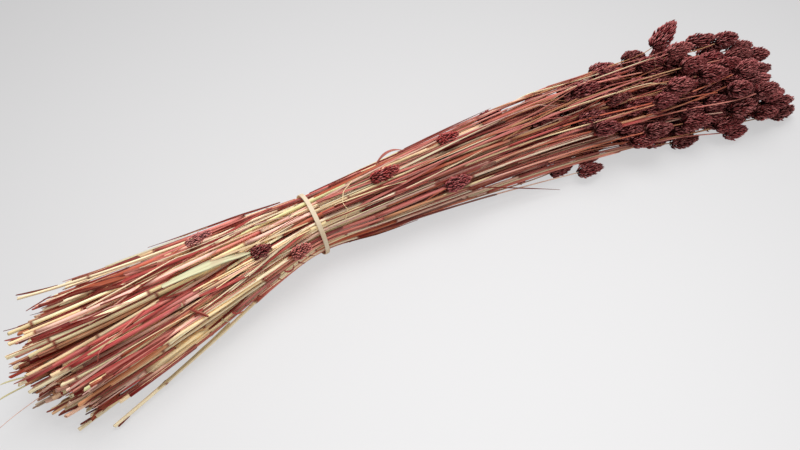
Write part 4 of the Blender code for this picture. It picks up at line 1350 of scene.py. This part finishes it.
def curl_scraps():
    """Curled scraps of leaf along the bundle's near edge before the band: short strips on a small arc."""
    rng = np.random.default_rng([SEED, 19])
    skin = Skin()
    for x in np.linspace(*SCRAP_FEET, SCRAPS):
        half, tall, shift = outline_at(x)
        turn = rng.uniform(0, 6.28) + np.linspace(0, rng.uniform(2.0, 5.0), 12)
        size = rng.uniform(*SCRAP_SIZES)
        place = np.array([x, shift - half * rng.uniform(0.88, 1.0), tall * rng.uniform(0.9, 1.3)])
        place = place + BAND_PLACE
        path = np.stack([size * np.cos(turn) + np.linspace(0, 0.006, 12), 0.6 * size * np.sin(turn),
                         0.8 * size * np.sin(turn)], axis=1)
        shade = shade_of(rng, *SHEATH_SHADES, 0.25) * 0.8
        width = rng.uniform(*SCRAP_WIDTHS) * shares_along(12, [0, 0.3, 1], [0.4, 1, 0.3])
        add_strip(skin, place + path, width, SHRED_THICKNESS, shade, LEAF, 0.6, 0.2)
    return skin.mesh("leaf_scraps", [LEAF])


def rubber_band():
    """A closed flat ring: a rounded oblong section carried round the tied stalks, slightly uneven.

    The section's width goes by sign(cos) |cos|^0.35 of the angle round it, and its thickness by the sine's
    power of 0.6, which squares its corners off.
    """
    turn = 2 * math.pi * np.arange(BAND_ROUND) / BAND_ROUND
    corner = np.linspace(0, 2 * math.pi, BAND_SECTION, endpoint=False) + 0.26
    flat = np.sign(np.cos(corner)) * np.abs(np.cos(corner)) ** 0.35 * 0.5 * BAND_WIDTH
    thick = np.sign(np.sin(corner)) * np.abs(np.sin(corner)) ** 0.6 * 0.5 * BAND_THICKNESS
    radius = HOLD_HEIGHT - 0.5 * BAND_THICKNESS - 0.00008 * (1 + np.sin(7 * turn)) + thick[:, None]
    width = 1 + 0.05 * np.sin(3 * turn + 1) + 0.03 * np.sin(8 * turn)
    x = flat[:, None] * width + 0.0004 * np.sin(2 * turn)
    y, z = radius * np.cos(turn), radius * np.sin(turn) + HOLD_HEIGHT
    x, y = x * math.cos(BAND_YAW) - y * math.sin(BAND_YAW), x * math.sin(BAND_YAW) + y * math.cos(BAND_YAW)
    places = np.stack([x, y + BAND_SIDE, z], axis=-1) + BAND_PLACE
    i, j = np.meshgrid(np.arange(BAND_SECTION), np.arange(BAND_ROUND), indexing="ij")
    here, after, beside = i * BAND_ROUND, (i + 1) % BAND_SECTION * BAND_ROUND, (j + 1) % BAND_ROUND
    faces = np.stack([here + j, here + beside, after + beside, after + j], axis=-1).reshape(-1, 4)
    mesh = bpy.data.meshes.new("cream_band")
    mesh.from_pydata(places.reshape(-1, 3).tolist(), [], faces.tolist())
    mesh.polygons.foreach_set("use_smooth", np.ones(len(faces), bool))
    mesh.materials.append(RUBBER)
    mesh.update()
    return put("cream_band", mesh)


# ---- building it --------------------------------------------------------------------------------------

plan = plan_stalks()
bends = settle_stalks(plan)
STRAW, HUSK, LEAF, RUBBER = straw_finish(), spikelet_finish(), leaf_finish(), rubber_finish()
stalks = [Stalk(plan, bends, i) for i in range(STALKS)]
SAME_PLACE = 0.006              # how near a stalk's middle must be to its solid's

for i in range(OUTER_STALKS):
    node = f"stalk_{i + 1:02d}"
    own = stalks[i].at(np.linspace(stalks[i].start, stalks[i].tip, 60))
    apart = 0.5 * (own.min(axis=0) + own.max(axis=0)) - np.mean(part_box(node), axis=0)
    assert np.linalg.norm(apart) < SAME_PLACE, f"{node} does not lie where the solid model has it"
    skin = Skin()
    dress_stalk(skin, stalks[i], **OUTER)
    piece = skin.mesh(f"grass_{i + 1:02d}", [STRAW, HUSK, LEAF])
    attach(piece, "root")
    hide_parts(node)

GROUP = 22                      # the inner stalks are joined in pieces of this many
for g, first in enumerate(range(OUTER_STALKS, STALKS, GROUP)):
    skin = Skin()
    for stalk in stalks[first:first + GROUP]:
        dress_stalk(skin, stalk, **INNER)
    piece = skin.mesh(f"inner_grass_{g + 1}", [STRAW, HUSK, LEAF])
    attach(piece, "root")

BLADE_RINGS, TWIG_RINGS = 36, 30
# the broad blade is wider than its solid in the middle, torn to a point by the band, and paler
BROAD_WIDTH, BROAD_SHADE = 1.55, "pale green"
BROAD_TAPER = (0.0, 0.16, 0.5, 1.0), (0.10, 0.72, 1.0, 0.40)
for name, (shade, width, route) in BLADES.items():
    points = route_points(route, LEAF_POINTS)
    points = lay_on_stalks(plan, bends, points, 0.5 * LEAF_THICKNESS, 0.5 * width)
    points = smooth_through(points + BAND_PLACE, BLADE_RINGS)
    taper = shares_along(BLADE_RINGS, np.linspace(0, 1, len(LEAF_TAPER)), LEAF_TAPER)
    if name == "leaf_blade_broad":
        taper = BROAD_WIDTH * shares_along(BLADE_RINGS, *BROAD_TAPER)
        shade = BROAD_SHADE
    skin = Skin()
    add_strip(skin, points, width * taper, LEAF_THICKNESS, SHADES[shade], LEAF)
    piece = skin.mesh("dry_" + name, [LEAF])
    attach(piece, "root")
    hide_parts(name)

for name, (shade, radius, route) in TWIGS.items():
    points = lay_on_stalks(plan, bends, route_points(route, LEAF_POINTS), CROSSING * radius)
    points[1:-1, 2] = 0.25 * points[:-2, 2] + 0.5 * points[1:-1, 2] + 0.25 * points[2:, 2]
    points = smooth_through(points + BAND_PLACE, TWIG_RINGS)
    skin = Skin()
    thin = shares_along(TWIG_RINGS, [0, 0.1, 0.9, 1], [0.8, 1, 0.9, 0.6])
    add_rod(skin, points, radius * thin, 8, SHADES[shade], STRAW)
    piece = skin.mesh("dry_" + name, [STRAW])
    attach(piece, "root")
    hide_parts(name)

straws = lay_straws()
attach(straws, "root")

for lay in (lay_ribbons, lay_strays, curl_scraps):
    strips = lay()
    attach(strips, "root")

side_shoots = lay_side_heads()
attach(side_shoots, "root")

band = rubber_band()
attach(band, "root")
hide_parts("rubber_band")

# ---- surface, light and camera ------------------------------------------------------------------------

# painted light on the floor: its colour at the brightest place and far from it, and where that place is
FLOOR_PAINTED_LIT = np.array([0.790, 0.785, 0.790])
FLOOR_PAINTED_DIM = np.array([0.484, 0.480, 0.484])
FLOOR_PAINTED_LIGHT_CENTRE = BAND_PLACE + np.array([0.05, -0.25, 0.0])
FLOOR_GLOW = 0.70               # how much of the floor's light, as the camera sees it, is not shaded
FLOOR_REACH = 4.0
ROOM_LIGHT = 1.09               # what a matt surface in the open receives from the lamp and the room
ROOM_LEVEL = 0.50
LAMP_PLACE, LAMP_SIZE, LAMP_POWER = (0.4, 0.7, 2.2), 1.8, 49.0
EYE_PLACE = (-0.0808, -0.3337, 0.5007)      # the camera's place from the band
EYE_DOWN, EYE_HEADING, EYE_LENS = 55, 26, 31.5
SENSOR_WIDTH = 36.0


def lay_floor():
    """A pale sheet with painted light: lightest in front of the bundle and painted greyer all round.

    Its painted light falls off smoothly over the first metre from the lightest place. To the camera part
    of it glows with that same shade, so that the bundle's shadow on it stays faint.
    """
    mesh = bpy.data.meshes.new("pale_floor")
    corners = [(FLOOR_REACH * x, FLOOR_REACH * y, 0) for x, y in ((-1, -1), (1, -1), (1, 1), (-1, 1))]
    mesh.from_pydata(corners, [], [(0, 1, 2, 3)])
    finish = Finish("pale paper", Roughness=0.9, Specular_IOR_Level=0.1)
    apart = {0: finish.place(), 1: tuple(FLOOR_PAINTED_LIGHT_CENTRE)}
    away = finish.add("ShaderNodeVectorMath", {"operation": "SUBTRACT"}, apart)
    far = finish.add("ShaderNodeVectorMath", {"operation": "LENGTH"}, {0: away}, out=1)
    # painted light: the floor's colour falls off from the brightest place, as light would
    shade = finish.mix(finish.ramp(far, 0.0, 1.0), FLOOR_PAINTED_LIT, FLOOR_PAINTED_DIM)
    finish.feed(Base_Color=shade)
    glow = finish.add("ShaderNodeEmission", None, {"Color": shade, "Strength": ROOM_LIGHT})
    seen = finish.add("ShaderNodeLightPath")
    lit = Value(finish, finish.shader.outputs[0])
    both = finish.add("ShaderNodeMixShader", None, {0: seen * FLOOR_GLOW, 1: lit, 2: glow})
    finish.join(both, finish.tree.nodes["Material Output"].inputs["Surface"])
    mesh.materials.append(finish.material)
    floor = put("pale_floor", mesh)


def hang_lamp(name, place, target, size, energy):
    """A round lamp at a place, turned to face a target."""
    lamp = bpy.data.lights.new(name, "AREA")
    lamp.shape = "DISK"
    lamp.size = size
    lamp.energy = energy
    thing = put(name, lamp)
    thing.location = place
    thing.rotation_euler = (Vector(target) - Vector(place)).to_track_quat("-Z", "Y").to_euler()


def aim_camera(place, down, heading, lens):
    """A level camera at a place, looking down from the horizon and turned from the y to the x axis."""
    camera = bpy.data.cameras.new("camera")
    camera.sensor_width = SENSOR_WIDTH
    camera.lens = lens
    eye = put("camera", camera)
    eye.location = place
    eye.rotation_euler = (math.radians(90 - down), 0.0, -math.radians(heading))
    bpy.context.scene.camera = eye


lay_floor()
hang_lamp("overhead", LAMP_PLACE, (0.0, 0.0, 0.0), LAMP_SIZE, LAMP_POWER)
world = bpy.data.worlds.new("room")
bpy.context.scene.world = world
world.use_nodes = True
room = world.node_tree.nodes["Background"]
room.inputs["Color"].default_value = (1.0, 1.0, 1.0, 1.0)
room.inputs["Strength"].default_value = ROOM_LEVEL
aim_camera(BAND_PLACE + EYE_PLACE, EYE_DOWN, EYE_HEADING, EYE_LENS)
bpy.context.scene.view_settings.view_transform = "Standard"
